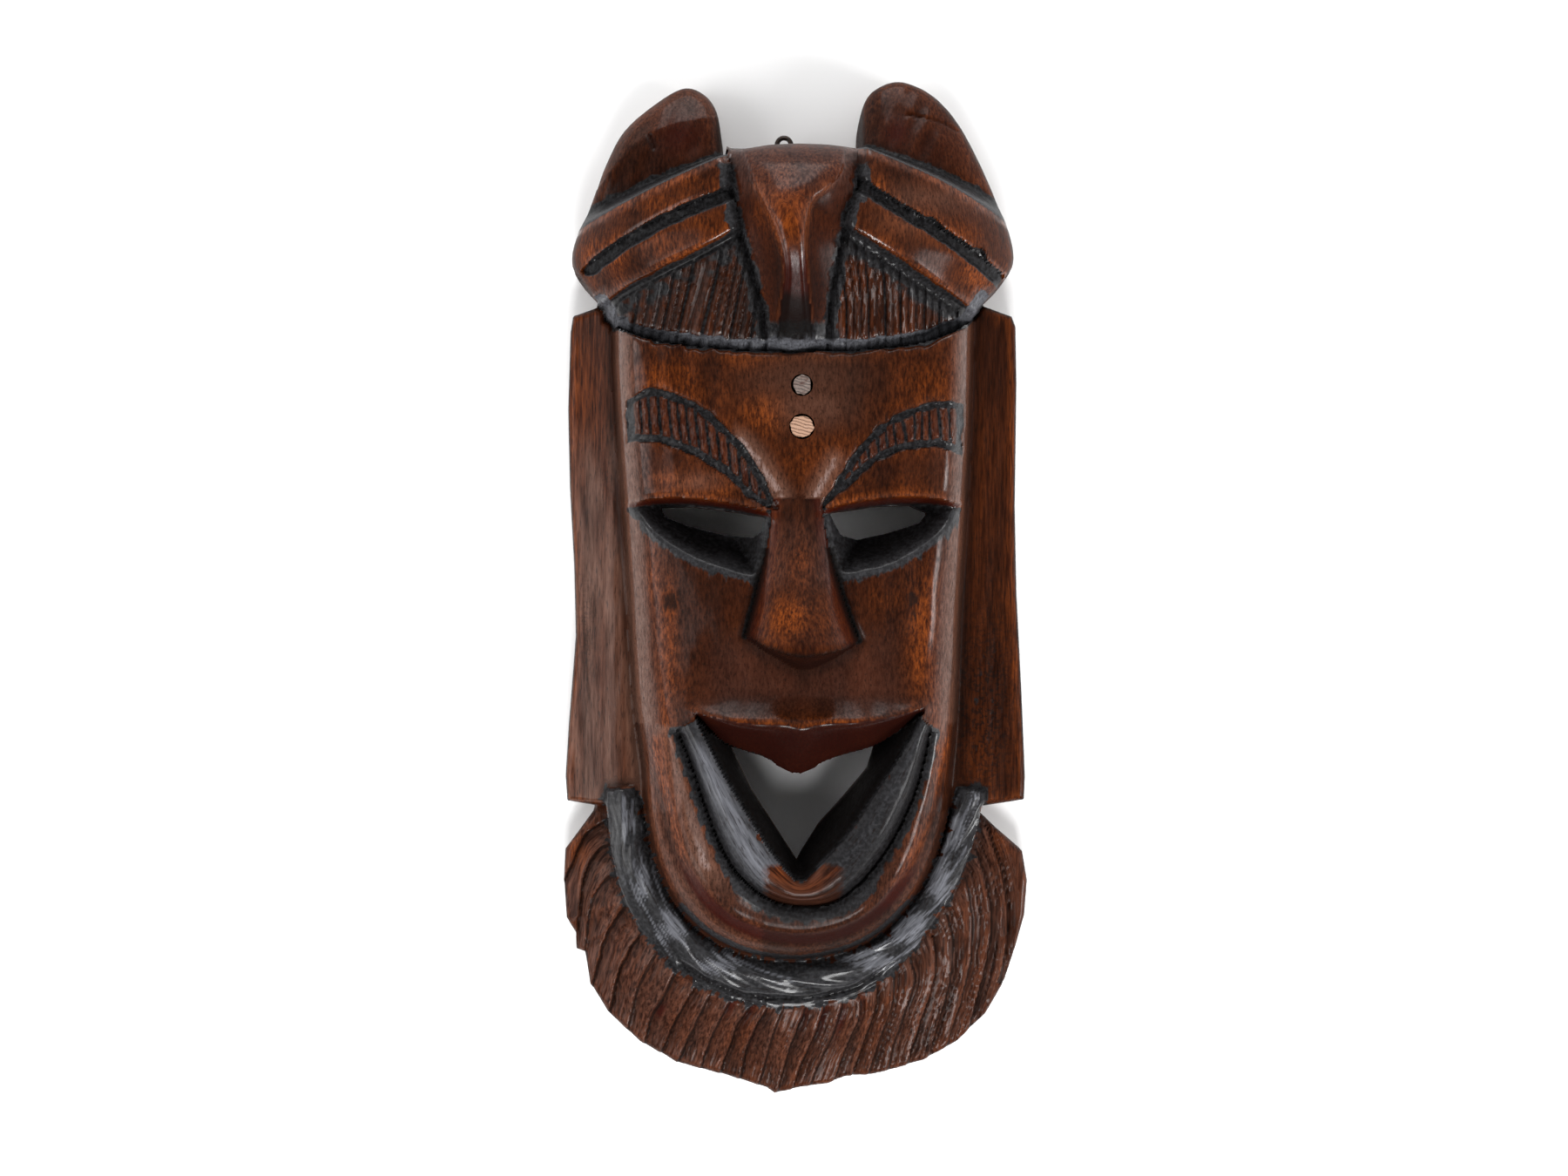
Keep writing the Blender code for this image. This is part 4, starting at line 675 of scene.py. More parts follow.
JAW_LINE = curve([(-41, -45), (-38.5, -60), (-33, -78), (-24, -92), (-13, -99), (0, -101.5), (12, -100),
                  (24, -93), (33.5, -80), (40.5, -62), (43, -46)])
CHIN_LINE = curve([(-34, -94), (-25, -102), (-13, -107.5), (0, -109.5), (13, -107), (24, -101.5),
                   (33, -93)])
MOUTH_DEPTH = 18.0
MUZZLE_DEPTH = 3.0
JAW_RIDGE = 0.7
JAW_HOLLOW = 0.9
LIP_WEAR = [(-16, -38.4, 9, 1.3, 0.9), (12, -38.8, 9, 1.2, 0.9), (-2, -40, 4, 1.2, 0.9),
            (-3.5, -82.5, 3.5, 2.2, 0.9), (14, -80, 5, 3, 0.3), (4, -86, 6, 2.0, 0.25)]
LIP_GLINT = [(8.5, -84.0, 4.5, 2.2, 0.9)]
LIP_LENGTH = 120.0
# Painted sheen on the left jaw
JAW_SHEEN = [(-29, -83, 4, 9, 0.45)]


def mouth(x, y, h, foot, on_nose, look):
    """The mouth: eased steps into the bowl, a sine roll for the lower lip, and a power for the upper one."""
    muzzle = (smooth((x + 33.0) / 16.0) * smooth((38.0 - x) / 16.0) * smooth((y + 38.5) / 8.0)
              * smooth((-8.0 - y) / 20.0))
    h = h - np.where(on_nose, 0.0, MUZZLE_DEPTH * muzzle)
    ridge, edge = near(x, y, LIP_RIDGE, 40.0), near(x, y, LIP_EDGE, 40.0)
    lip = (ridge[2] < 0) & (edge[2] > 0) & (y < -34) & (np.abs(x - 3.5) < 33.5)
    h = h + 1.1 * bump(ridge[0], 2.4)
    h = np.where(lip, h - 9.0 * part_way(ridge[0], edge[0]) ** 1.5, h)
    bowl = inside(x, y, np.vstack([LIP_EDGE, MOUTH_IN[::-1]]), 40.0)
    slope, lip_run = near(x, y, MOUTH_IN, 40.0)[:2]
    groove = near(x, y, LIP_GROOVE, 40.0)[0]
    h = np.where(bowl > 0, h - MOUTH_DEPTH * (0.2 + 0.8 * smooth(slope / 8.0)), h)
    under_lip = inside(x, y, np.vstack([MOUTH_IN, LIP_GROOVE[::-1]]), 40.0)
    t = part_way(slope, groove)
    roll = 2.2 * np.sin(np.pi * t) ** 0.8 - 2.0 * smooth((t - 0.6) / 0.4)
    band = (under_lip > 0) & (bowl < 0)
    h = np.where(band, h + roll, h)
    jaw, chin = near(x, y, JAW_LINE, 14.0)[2], near(x, y, CHIN_LINE, 10.0)[0]
    below = (under_lip < 0) & (bowl < 0) & (y < -40) & (foot > 0.5)
    hand = uneven(x, y, 5.0, 7.0, 61)
    shaped = JAW_RIDGE * bump(jaw - 1.8, 2.4) - JAW_HOLLOW * bump(jaw + 2.2, 2.0)
    h = h + below * smooth((-44 - y) / 20) * shaped
    tip = smooth((-77 - y) / 5) * smooth((16 - np.abs(x - 2)) / 8)
    reach = 3.4 + 1.8 * smooth((-84 - y) / 6) + 0.5 * hand
    black = np.maximum.reduce([band * (1 - 0.75 * tip) * smooth((t + 0.12 + 0.06 * hand) / 0.2),
                               1.0 * (bowl > -0.3), below * smooth((reach - groove) / 1.8) * 0.95,
                               (y < -60) * bump(chin, 1.3)])
    orange = bump(t - 0.35, 0.12)
    gathered = below * smooth((2.4 - np.abs(jaw + 1.2)) / 1.2) * smooth((-76 - y) / 12)
    shaded = below * smooth((x - 6) / 6) * (1 - bump(jaw - 1.8, 1.5))
    sheen = below * (0.72 * bump(jaw - 5.0, 2.8) * smooth((y + 92) / 12) + 0.3 * bump(jaw + 5.5, 1.8))
    sheen = sheen * np.where(x < 0, 1.0, 0.12) + below * spots(x, y, JAW_SHEEN)
    on_band = bump(t - 0.45, 0.25) * np.where(x < -3, 0.5, 0.15) * (1 - tip) + spots(x, y, LIP_GLINT)
    laid(look, band, across=9.0 * t, along=0.15 * LIP_LENGTH * lip_run)
    laid(look, band | lip, paint=0.0, worn=0.0)
    more(look, "paint", black * ~lip)
    more(look, "worn", spots(x, y, LIP_WEAR) * (bowl < 0), 0.5 * band * orange * (x > 6),
         below * 0.9 * bump(jaw + 0.2, 1.6) * smooth((y + 96) / 14),
         0.6 * band * bump(t - 0.04, 0.06) * (x < 0) * smooth((-66 - y) / 8))
    more(look, "red", lip * 0.95, gathered, 0.25 * muzzle)
    more(look, "matte", 0.6 * muzzle, gathered, 0.7 * lip, bowl > 0, 0.9 * band * tip)
    # Painted shade in the mouth's bowl and on the upper lip, which slopes down into it; the lower lip's right
    # side, the chin and the right jaw are darkened too
    more(look, "dirt", bowl > 0.3, 0.65 * lip, 0.5 * band * smooth((x - 6) / 4) * (1 - orange),
         below * smooth((-86 - y) / 10) * np.where(x < -10, 0.25, 0.62),
         0.35 * shaded * smooth((-50 - y) / 10))
    # Painted sheen on the muzzle and on the jaw, mostly on its left
    more(look, "haze", 0.22 * muzzle * (1 - on_nose))
    less(look, below * smooth((6 - jaw) / 3), "haze")
    more(look, "haze", sheen)
    # The lower lip's left side is rubbed grey, partly worn paint and partly a painted highlight
    more(look, "rub", band * bump(t - 0.40, 0.28) * smooth((-1 - x) / 3) * smooth((-42 - y) / 8))
    more(look, "shine", np.where(band, on_band, 0.45 * bump(ridge[0], 1.6)), 0.5 * sheen,
         below * 0.25 * smooth((x - 5) / 12) * bump(jaw - 1.8, 1.5))
    scratch = 0.008 * uneven(x, y, 1.1, 14.0, 62, 12)
    return h - 2.0 * bump(groove, 1.6) * (y < -42) + scratch * (band | below)


# The hollow back
# The back is sawn flat along its edge and hollowed out with a wide gouge, so that the shell behind the face
# is about ten millimetres thick. It isn't painted.

HOLLOW_OUTLINE = np.vstack([FACE_FOOT, curve([(52, 103), (44, 113), (24, 121.5), (0, 124.5), (-26, 121.5),
                                              (-46, 113), (-54, 103)])])
HOLLOW_SLOPE = 14.0
HOLLOW_RIM = 5.0
SHELL = 10.0
THIN_WALL = 5.0
EDGE_ROUND = 2.0
CAP_STEP = 2.0
CROWN_TURN = 119.0
CROWN_LAST = 130.0
CROWN_HALF = 21.0
CROWN_ROUND = 6.5
GOUGE_WIDTH = 7.0
GOUGE_DEPTH = 0.45
LOOKS = ("paint", "worn", "red", "dust", "haze", "cut", "shine", "rough", "matte", "rub", "dirt", "across",
         "along")


def carve(x, y):
    """Front and back heights over the drawing, and the finish at each place as masks from 0 to 1.

    Across and along are no masks but lengths, in which the fibres and knife strokes run.
    """
    look = {name: np.zeros(x.shape) for name in LOOKS}
    look["across"] = x
    rim = inside(x, y, OUTLINE)
    foot = inside(x, y, FACE_FOOT)
    h = side_boards(x, y, rim, look)
    raised, front = face(x, y, foot, look)
    h = np.where(foot > 0, np.maximum(h, raised), h)
    h, band = collar(x, y, h, look)
    h = beard(x, y, h, band, look)
    carved, cap_look, dome = cap(x, y, rim)
    carved = beak(x, y, carved, dome, cap_look)
    over_end = np.clip((y - CROWN_TURN) / (CROWN_LAST - CROWN_TURN), 0, 1)
    over_end = over_end * smooth((CROWN_HALF - np.abs(x)) / 2.0)
    carved = carved - CROWN_ROUND * (1 - np.sqrt(1 - over_end**2))
    edge = near(x, y, CAP_EDGE)
    over = edge[2] > 0
    border = edge[2] + 0.35 * uneven(x, y, 6.0, 6.0, 71)
    h = np.where(over, carved - CAP_STEP * smooth((3.2 - border) / 0.8), h) - CAP_STEP * bump(border, 0.9)
    hem = smooth((border + 1.0) / 0.6) * smooth((3.7 - border) / 0.8)
    # The border's paint is rubbed grey in places
    laid(look, over, rough=0.0, rub=0.85 * hem * smooth(border + 0.2), **cap_look)
    less(look, hem, "dirt")
    more(look, "paint", hem)
    more(look, "shine", bump(border - 3.9, 0.5))
    up_to_cap = smooth(edge[2] / 18.0)
    body = front * (1 - up_to_cap) + dome * up_to_cap
    for seed, (upper, lower) in enumerate(BROWS):
        h = brow(x, y, h, upper, lower, look, 81 + seed)
    for seed, (lid, lower) in enumerate(EYES):
        h = eye(x, y, h, lid, lower, look, 91 + 2 * seed)
    h, on_nose = nose(x, y, h, look)
    h = mouth(x, y, h, foot, on_nose, look)
    into = inside(x, y, HOLLOW_OUTLINE) - HOLLOW_RIM
    ramp = (1 - (1 - np.clip(into / HOLLOW_SLOPE, 0, 1)) ** 2) ** 0.6
    thin = np.where(over, body, h) - THIN_WALL
    back = np.maximum(np.minimum(body - SHELL, thin), 0.0) * ramp
    gouge = np.abs(np.sin(np.pi * x / GOUGE_WIDTH + 0.5 * uneven(x, y, 40.0, 60.0, 72)))
    back = back - GOUGE_DEPTH * (1 - gouge) * smooth(into / 8.0)
    lost = 1 - np.clip(rim / EDGE_ROUND, 0, 1)
    return h - EDGE_ROUND * (1 - np.sqrt(1 - lost**2)), back, look


# The carved block as a mesh
# The front and the back are the same flat net of triangles, trimmed to the outline and the three openings
# and raised to the two heights. Walls join them along every edge.

HOLES = (LEFT_EYE_HOLE, RIGHT_EYE_HOLE, MOUTH_HOLE)
NET = 0.55
CENTRE = 0.5 * (OUTLINE.min(axis=0) + OUTLINE.max(axis=0))
block_low, block_high = np.array(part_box("mask_body"))
UNIT = (block_high - block_low) / DRAWN_SIZE


def placed(x, y, z):
    """Points of the drawing, with a height, in metres in the frame, kept inside the solid's box."""
    points = np.column_stack([(x - CENTRE[0]) * UNIT[0], (y - CENTRE[1]) * UNIT[1], z * UNIT[2]])
    return np.clip(points, block_low, block_high)


def wood_distance(x, y):
    """Distance to the nearest edge of the wood, positive in the wood."""
    wood = inside(x, y, OUTLINE)
    for ring in HOLES:
        wood = np.minimum(wood, -inside(x, y, ring, 12.0))
    return wood


def trimmed_net(spacing):
    """A net of triangles over the drawing. Points close to an edge move onto it, crossed triangles are cut.

    A corner of the result is a pair of net points: the same point twice, or the two that an edge parts.
    """
    low, high = OUTLINE.min(axis=0) - 2 * spacing, OUTLINE.max(axis=0) + 2 * spacing
    x, y = np.meshgrid(np.arange(low[0], high[0], spacing), np.arange(low[1], high[1], spacing))
    wood = wood_distance(x, y)
    up, across = np.gradient(wood, spacing)
    steep = np.maximum(across**2 + up**2, 0.5)
    close = np.abs(wood) < 0.4 * spacing
    x = np.where(close, x - wood * across / steep, x)
    y = np.where(close, y - wood * up / steep, y)
    wood = wood_distance(x, y).ravel()
    wood[np.abs(wood) < 0.1 * spacing] = 0.0
    corner = np.arange(x.size).reshape(x.shape)
    squares = corner[:-1, :-1], corner[:-1, 1:], corner[1:, 1:], corner[1:, :-1]
    a, b, c, d = (part.ravel() for part in squares)
    tris = np.vstack([np.column_stack([a, b, c]), np.column_stack([a, c, d])])
    state = np.sign(wood)[tris]
    out, into = (state < 0).sum(axis=1), (state > 0).sum(axis=1)

    def first(chosen, lead):
        """The chosen triangles' corners, turned so that the leading one comes first."""
        order = (lead[chosen][:, None] + np.arange(3)) % 3
        return np.take_along_axis(tris[chosen], order, axis=1).T

    def made(*pairs):
        """Triangles whose corners are the given pairs of net points."""
        return np.stack([np.sort(np.stack(pair, axis=-1), axis=-1) for pair in pairs], axis=1)

    a, b, c = tris[(out == 0) & (into > 0)].T
    pieces = [made((a, a), (b, b), (c, c))]
    a, b, c = first((out == 1) & (into == 2), np.argmin(state, axis=1))
    pieces += [made((a, b), (b, b), (c, c)), made((a, b), (c, c), (a, c))]
    a, b, c = first((into == 1) & (out == 2), np.argmax(state, axis=1))
    pieces += [made((a, a), (a, b), (a, c))]
    a, b, c = first((into == 1) & (out == 1), np.argmin(np.abs(state), axis=1))
    keeps_b = (wood[b] > 0)[:, None, None]
    pieces += [np.where(keeps_b, made((a, a), (b, b), (b, c)), made((a, a), (b, c), (c, c)))]
    ends, index = np.unique(np.vstack(pieces).reshape(-1, 2), axis=0, return_inverse=True)
    p, q = ends.T
    share = np.where(p == q, 0.0, wood[p] / np.where(p == q, 1.0, wood[p] - wood[q]))
    x, y = x.ravel(), y.ravel()
    return x[p] + share * (x[q] - x[p]), y[p] + share * (y[q] - y[p]), index.reshape(-1, 3)


def mesh_of(name, points, faces):
    """A mesh from an array of points and an array of faces with equal numbers of corners."""
    mesh = bpy.data.meshes.new(name)
    mesh.vertices.add(len(points))
    mesh.vertices.foreach_set("co", np.ascontiguousarray(points, np.float32).ravel())
    mesh.loops.add(faces.size)
    mesh.loops.foreach_set("vertex_index", np.ascontiguousarray(faces, np.int32).ravel())
    mesh.polygons.add(len(faces))
    mesh.polygons.foreach_set("loop_start", np.arange(0, faces.size, faces.shape[1], dtype=np.int32))
    mesh.update(calc_edges=True)
    return mesh


def new_piece(name, data):
    """An object at the origin with this mesh, light or camera."""
    piece = bpy.data.objects.new(name, data)
    bpy.context.scene.collection.objects.link(piece)
    return piece


def applied(piece):
    """Puts the piece's modifiers into its mesh."""
    bpy.context.view_layer.update()
    seen = piece.evaluated_get(bpy.context.evaluated_depsgraph_get())
    mesh = bpy.data.meshes.new_from_object(seen)
    piece.modifiers.clear()
    piece.data = mesh
    return piece


net_x, net_y, net = trimmed_net(NET)
net_front, net_back, _ = carve(net_x, net_y)
count = len(net_x)
sides = np.vstack([net[:, [0, 1]], net[:, [1, 2]], net[:, [2, 0]]])
one_sided = ~np.isin(sides[:, 0] * count + sides[:, 1], sides[:, 1] * count + sides[:, 0])
p, q = sides[one_sided].T
walls = np.vstack([np.column_stack([p, p + count, q + count]), np.column_stack([p, q + count, q])])
all_faces = np.vstack([net, net[:, ::-1] + count, walls])
all_points = np.vstack([placed(net_x, net_y, net_front), placed(net_x, net_y, net_back)])
carving = new_piece("mask_carving", mesh_of("mask_carving", all_points, all_faces))


# The drilled holes
# Two blind holes in the forehead take the round plugs, and one in the crown's end takes the hanging eye's
# shank. A sweep of rings, each a circle round the path, makes the drills.

HOLE_GAP = 0.0003
DRILL_SIDES = 48
DRILL_START = 0.003
SHANK_ASIDE = 0.0006


def swept(name, rings):
    """A closed tube through rings of points, an array of (ring, point, xyz), with fans at its ends."""
    turns, sides_round = rings.shape[:2]
    grid = np.arange(turns * sides_round).reshape(turns, sides_round)
    turned = np.roll(grid, -1, axis=1)
    squares = np.stack([grid[:-1], turned[:-1], turned[1:], grid[1:]], axis=-1).reshape(-1, 4)
    tris = np.vstack([squares[:, [0, 1, 2]], squares[:, [0, 2, 3]]])
    low, high = rings[0].mean(axis=0), rings[-1].mean(axis=0)
    low_fan = np.column_stack([turned[0], grid[0], np.full(sides_round, grid.size)])
    high_fan = np.column_stack([grid[-1], turned[-1], np.full(sides_round, grid.size + 1)])
    return mesh_of(name, np.vstack([rings.reshape(-1, 3), low, high]), np.vstack([tris, low_fan, high_fan]))


def drill(block, name, start, end, radius):
    """Cuts a round hole into the block from start to end."""
    turn = np.linspace(0, 2 * np.pi, DRILL_SIDES, endpoint=False)
    along = (end - start) / np.linalg.norm(end - start)
    side = np.cross(along, [1.0, 0.0, 0.0])
    ring = radius * (np.outer(np.cos(turn), [1.0, 0.0, 0.0]) + np.outer(np.sin(turn), side))
    bit = new_piece(name, swept(name, np.stack([start + ring, end + ring])))
    hole = block.modifiers.new(name, "BOOLEAN")
    hole.operation = "DIFFERENCE"
    hole.solver = "MANIFOLD"
    hole.object = bit
    return bit


bits = []
for node in ("forehead_plug_upper", "forehead_plug_lower"):
    low, high = np.array(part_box(node))
    middle = 0.5 * (low + high)
    reach = 0.5 * (high[0] - low[0]) + HOLE_GAP
    bits.append(drill(carving, node + "_bit", np.array([middle[0], middle[1], high[2] + DRILL_START]),
                      np.array([middle[0], middle[1], low[2] - HOLE_GAP]), reach))
eye_low, eye_high = np.array(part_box("hanging_eye"))
wire = 0.5 * (eye_high[2] - eye_low[2])
shank_x = 0.5 * (eye_low[0] + eye_high[0]) - SHANK_ASIDE
bits.append(drill(carving, "hanging_eye_bit", np.array([shank_x, eye_high[1], eye_low[2] + wire]),
                  np.array([shank_x, eye_low[1] - HOLE_GAP, eye_low[2] + wire]), wire + HOLE_GAP))
applied(carving)
for bit in bits:
    bpy.data.objects.remove(bit)


# The finish on the mesh
# Flat stretches are thinned out, and the finish is worked out at the points that are left. The worn ridges
# and the painted shade in the hollows come from how far the front stands above or below its own average over
# a few millimetres.

FACETS = 195000
RASTER = 0.7
RASTER_REACH = (75, 158)
RIDGE_REACH = 1.6
CREASE_ANGLE = 0.8


def averaged(field, reach):
    """The field averaged over a bell of the given reach, along rows and then along columns."""
    far = int(3 * reach / RASTER)
    bell = bump(np.arange(-far, far + 1) * RASTER, reach * 1.414)
    bell /= bell.sum()
    wide = np.pad(field, far, mode="edge")
    wide = sum(w * wide[:, n:n + field.shape[1]] for n, w in enumerate(bell))
    return sum(w * wide[n:n + field.shape[0]] for n, w in enumerate(bell))


def sampled(field, x, y):
    """The field at the given places, in straight steps between its four nearest points."""
    u = np.clip((x - raster_x[0, 0]) / RASTER, 0, field.shape[1] - 2)
    v = np.clip((y - raster_y[0, 0]) / RASTER, 0, field.shape[0] - 2)
    i, j = u.astype(int), v.astype(int)
    u, v = u - i, v - j
    return ((field[j, i] * (1 - u) + field[j, i + 1] * u) * (1 - v)
            + (field[j + 1, i] * (1 - u) + field[j + 1, i + 1] * u) * v)


thinning = carving.modifiers.new("thinning", "DECIMATE")
thinning.ratio = min(1.0, FACETS / len(all_faces))
applied(carving)
corners = np.empty(3 * len(carving.data.vertices), np.float32)
carving.data.vertices.foreach_get("co", corners)
corners = corners.reshape(-1, 3).astype(float)
drawn_x, drawn_y = corners[:, 0] / UNIT[0] + CENTRE[0], corners[:, 1] / UNIT[1] + CENTRE[1]
drawn_front, _, finish_masks = carve(drawn_x, drawn_y)
height = corners[:, 2] / UNIT[2]
finish_masks["back"] = smooth((drawn_front - height - 1.5) / 3.0)
raster_x, raster_y = np.meshgrid(*(np.arange(-reach, reach, RASTER) for reach in RASTER_REACH))
raster = carve(raster_x, raster_y)[0]
stands_out = sampled(raster - averaged(raster, RIDGE_REACH), drawn_x, drawn_y)
finish_masks["edge"] = np.clip(stands_out / 0.35, 0, 1)
glossy = (1 - finish_masks["dirt"]) * (1 - 0.7 * finish_masks["matte"])
more(finish_masks, "shine", 0.30 * finish_masks["edge"] * glossy)
# Painted shade in the hollows, where the front lies below its own average
more(finish_masks, "dirt",
     0.5 * np.clip(-stands_out / 0.4, 0, 1) * (1 - 0.5 * np.clip(finish_masks["paint"], 0, 1)))
behind = finish_masks["back"] > 0.5
fibre_run = np.column_stack([np.where(behind, drawn_x, finish_masks.pop("across")),
                             np.where(behind, 0.3 * drawn_y, finish_masks.pop("along")), height])
flow = carving.data.attributes.new("flow", "FLOAT_VECTOR", "POINT")
flow.data.foreach_set("vector", (0.001 * fibre_run).astype(np.float32).ravel())
for name, amount in finish_masks.items():
    mask = carving.data.attributes.new(name, "FLOAT", "POINT")
    mask.data.foreach_set("value", np.clip(amount * (1 - finish_masks["back"] * (name != "back")), 0, 1)
                          .astype(np.float32))
carving.data.shade_smooth()
carving.data.set_sharp_from_angle(angle=CREASE_ANGLE)
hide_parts("mask_body")
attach(carving, "root")


# The stained wood
# Dark reddish-brown stain on a close-grained wood, polished by hand. It is black where it was painted, orange
# where it has been rubbed through, and dull and greyish in the knife cuts. Painted sheen, painted highlights
# and painted shade are laid into its colour as well.

def feed(tree, node, inputs):
    """Links sockets to a node's inputs, or sets values on them, given as (name or number, either) pairs."""
    for name, value in inputs:
        if isinstance(value, bpy.types.NodeSocket):
            tree.links.new(value, node.inputs[name])
        else:
            node.inputs[name].default_value = value


def put(tree, kind, inputs=(), **settings):
    """The outputs of a new node with these settings and inputs."""
    made = tree.nodes.new(kind)
    for name, value in settings.items():
        setattr(made, name, value)
    feed(tree, made, inputs)
    return made.outputs


def blend(tree, share, first, second):
    """The first colour going over into the second by a share."""
    return put(tree, "ShaderNodeMix", [(0, share), (6, first), (7, second)], data_type="RGBA")[2]


def maths(tree, operation, *values, clamp=False):
    """A sum, product or other operation on numbers or sockets."""
    return put(tree, "ShaderNodeMath", enumerate(values), operation=operation, use_clamp=clamp)[0]


def times(tree, first, second, *added, clamp=False):
    """The product of two numbers or sockets, with a third one added to it if there is one."""
    return maths(tree, "MULTIPLY_ADD" if added else "MULTIPLY", first, second, *added, clamp=clamp)


def ramp_of(tree, value, low, high, to_low=0.0, to_high=1.0):
    """The value mapped in a straight line from one range to another, and held at its ends."""
    pairs = [("Value", value), ("From Min", low), ("From Max", high), ("To Min", to_low), ("To Max", to_high)]
    return put(tree, "ShaderNodeMapRange", pairs)[0]


def noise(tree, place, scale, detail, roughness=0.5):
    """Noise over the place, spread round a half."""
    pairs = [("Vector", place), ("Scale", scale), ("Detail", detail), ("Roughness", roughness)]
    return put(tree, "ShaderNodeTexNoise", pairs)["Fac"]


def new_group(name, ins, outs):
    """An empty shader group with float inputs, given as (name, value), and float outputs, given by name."""
    group = bpy.data.node_groups.new(name, "ShaderNodeTree")
    for label, value in ins:
        socket = group.interface.new_socket(label, in_out="INPUT", socket_type="NodeSocketFloat")
        socket.default_value = value
    for label in outs:
        group.interface.new_socket(label, in_out="OUTPUT", socket_type="NodeSocketFloat")
    return group, group.nodes.new("NodeGroupInput").outputs, group.nodes.new("NodeGroupOutput")


# For each output of the grain: how the noise is squeezed, its detail and roughness, and what maps to 0 and 1
GRAIN_NOISE = (("Fibres", (1.0, 1.0, 1.0), 4.0, 0.6, 0.36, 0.64),
               ("Pores", (1.7, 2.6, 1.7), 2.0, 0.5, 0.56, 0.68),
               ("Figure", (0.08, 0.07, 0.08), 2.5, 0.45, 0.36, 0.64))
RAGGED_STEP = 0.16


def grain_group():
    """Wood grain along the flow: stretched noise for the fibres, short dark pores, and cloudy figure."""
    group, given, result = new_group("grain", (("Fibre", 1350.0), ("Length", 0.40)),
                                     [row[0] for row in GRAIN_NOISE])
    place = put(group, "ShaderNodeAttribute", attribute_name="flow")["Vector"]
    along = times(group, given["Fibre"], given["Length"])
    stretch = put(group, "ShaderNodeCombineXYZ", [("X", given["Fibre"]), ("Y", along), ("Z", given["Fibre"])])
    scaled = put(group, "ShaderNodeVectorMath", [(0, place), (1, stretch[0])], operation="MULTIPLY")
    for name, squeeze, detail, roughness, low, high in GRAIN_NOISE:
        there = put(group, "ShaderNodeVectorMath", [(0, scaled[0]), (1, squeeze)], operation="MULTIPLY")
        found = noise(group, there[0], 1.0, detail, roughness)
        feed(group, result, [(name, ramp_of(group, found, low, high))])
    return group


def ragged_group():
    """A mask with a ragged edge: noise is added to it before a steep step."""
    ins = (("Mask", 0.0), ("Scale", 700.0), ("Amount", 0.5), ("Step", 0.5))
    group, given, result = new_group("ragged", ins, ["Mask"])
    place = put(group, "ShaderNodeTexCoord")["Object"]
    centred = maths(group, "SUBTRACT", noise(group, place, given["Scale"], 4.0), 0.5)
    moved = times(group, centred, given["Amount"], given["Mask"])
    low, high = (maths(group, sign, given["Step"], RAGGED_STEP) for sign in ("SUBTRACT", "ADD"))
    feed(group, result, [("Mask", ramp_of(group, moved, low, high))])
    return group


GRAIN, RAGGED = grain_group(), ragged_group()


def ragged(tree, share, scale, amount, step=0.5):
    """The share as a mask with a ragged edge."""
    pairs = [("Mask", share), ("Scale", scale), ("Amount", amount), ("Step", step)]
    return put(tree, "ShaderNodeGroup", pairs, node_tree=RAGGED)["Mask"]


def new_material(name):
    """A material's tree and its Principled shader."""
    material = bpy.data.materials.new(name)
    material.use_nodes = True
    return material, material.node_tree, material.node_tree.nodes["Principled BSDF"]


STAIN_DARK = (0.0090, 0.0025, 0.0012, 1)
STAIN = (0.0420, 0.0100, 0.0030, 1)
RUBBED = (0.1700, 0.0370, 0.0045, 1)
RUBBED_DARK = (0.0460, 0.0092, 0.0020, 1)
GATHERED_RED = (0.0300, 0.0028, 0.0012, 1)
BLACK_PAINT = (0.0080, 0.0079, 0.0085, 1)
PAINT_WORN = (0.0320, 0.0315, 0.0340, 1)
PAINT_RUBBED = (0.1500, 0.1530, 0.1720, 1)
CUT_WOOD = (0.1080, 0.0500, 0.0350, 1)
CUT_DARK = (0.0150, 0.0060, 0.0042, 1)
HAZE = (0.1280, 0.0610, 0.0410, 1)
HAZE_BRIGHT = (0.2300, 0.1650, 0.1500, 1)
SOOT = (0.0030, 0.0024, 0.0022, 1)
BACK_WOOD = (0.0500, 0.0220, 0.0110, 1)
CUT_FLOOR = (0.008, 0.004, 0.003, 1)
PORE = (0.006, 0.003, 0.002, 1)
WOOD_SPECULAR = 0.02
COAT_ROUGHNESS = 0.18
WOOD_RELIEF = 0.00012
POLISH_LOST = (("dust", -0.6), ("cut", -0.85), ("rough", -0.6), ("worn", -0.4), ("matte", -0.9),
               ("dirt", -0.8), ("back", -0.95))


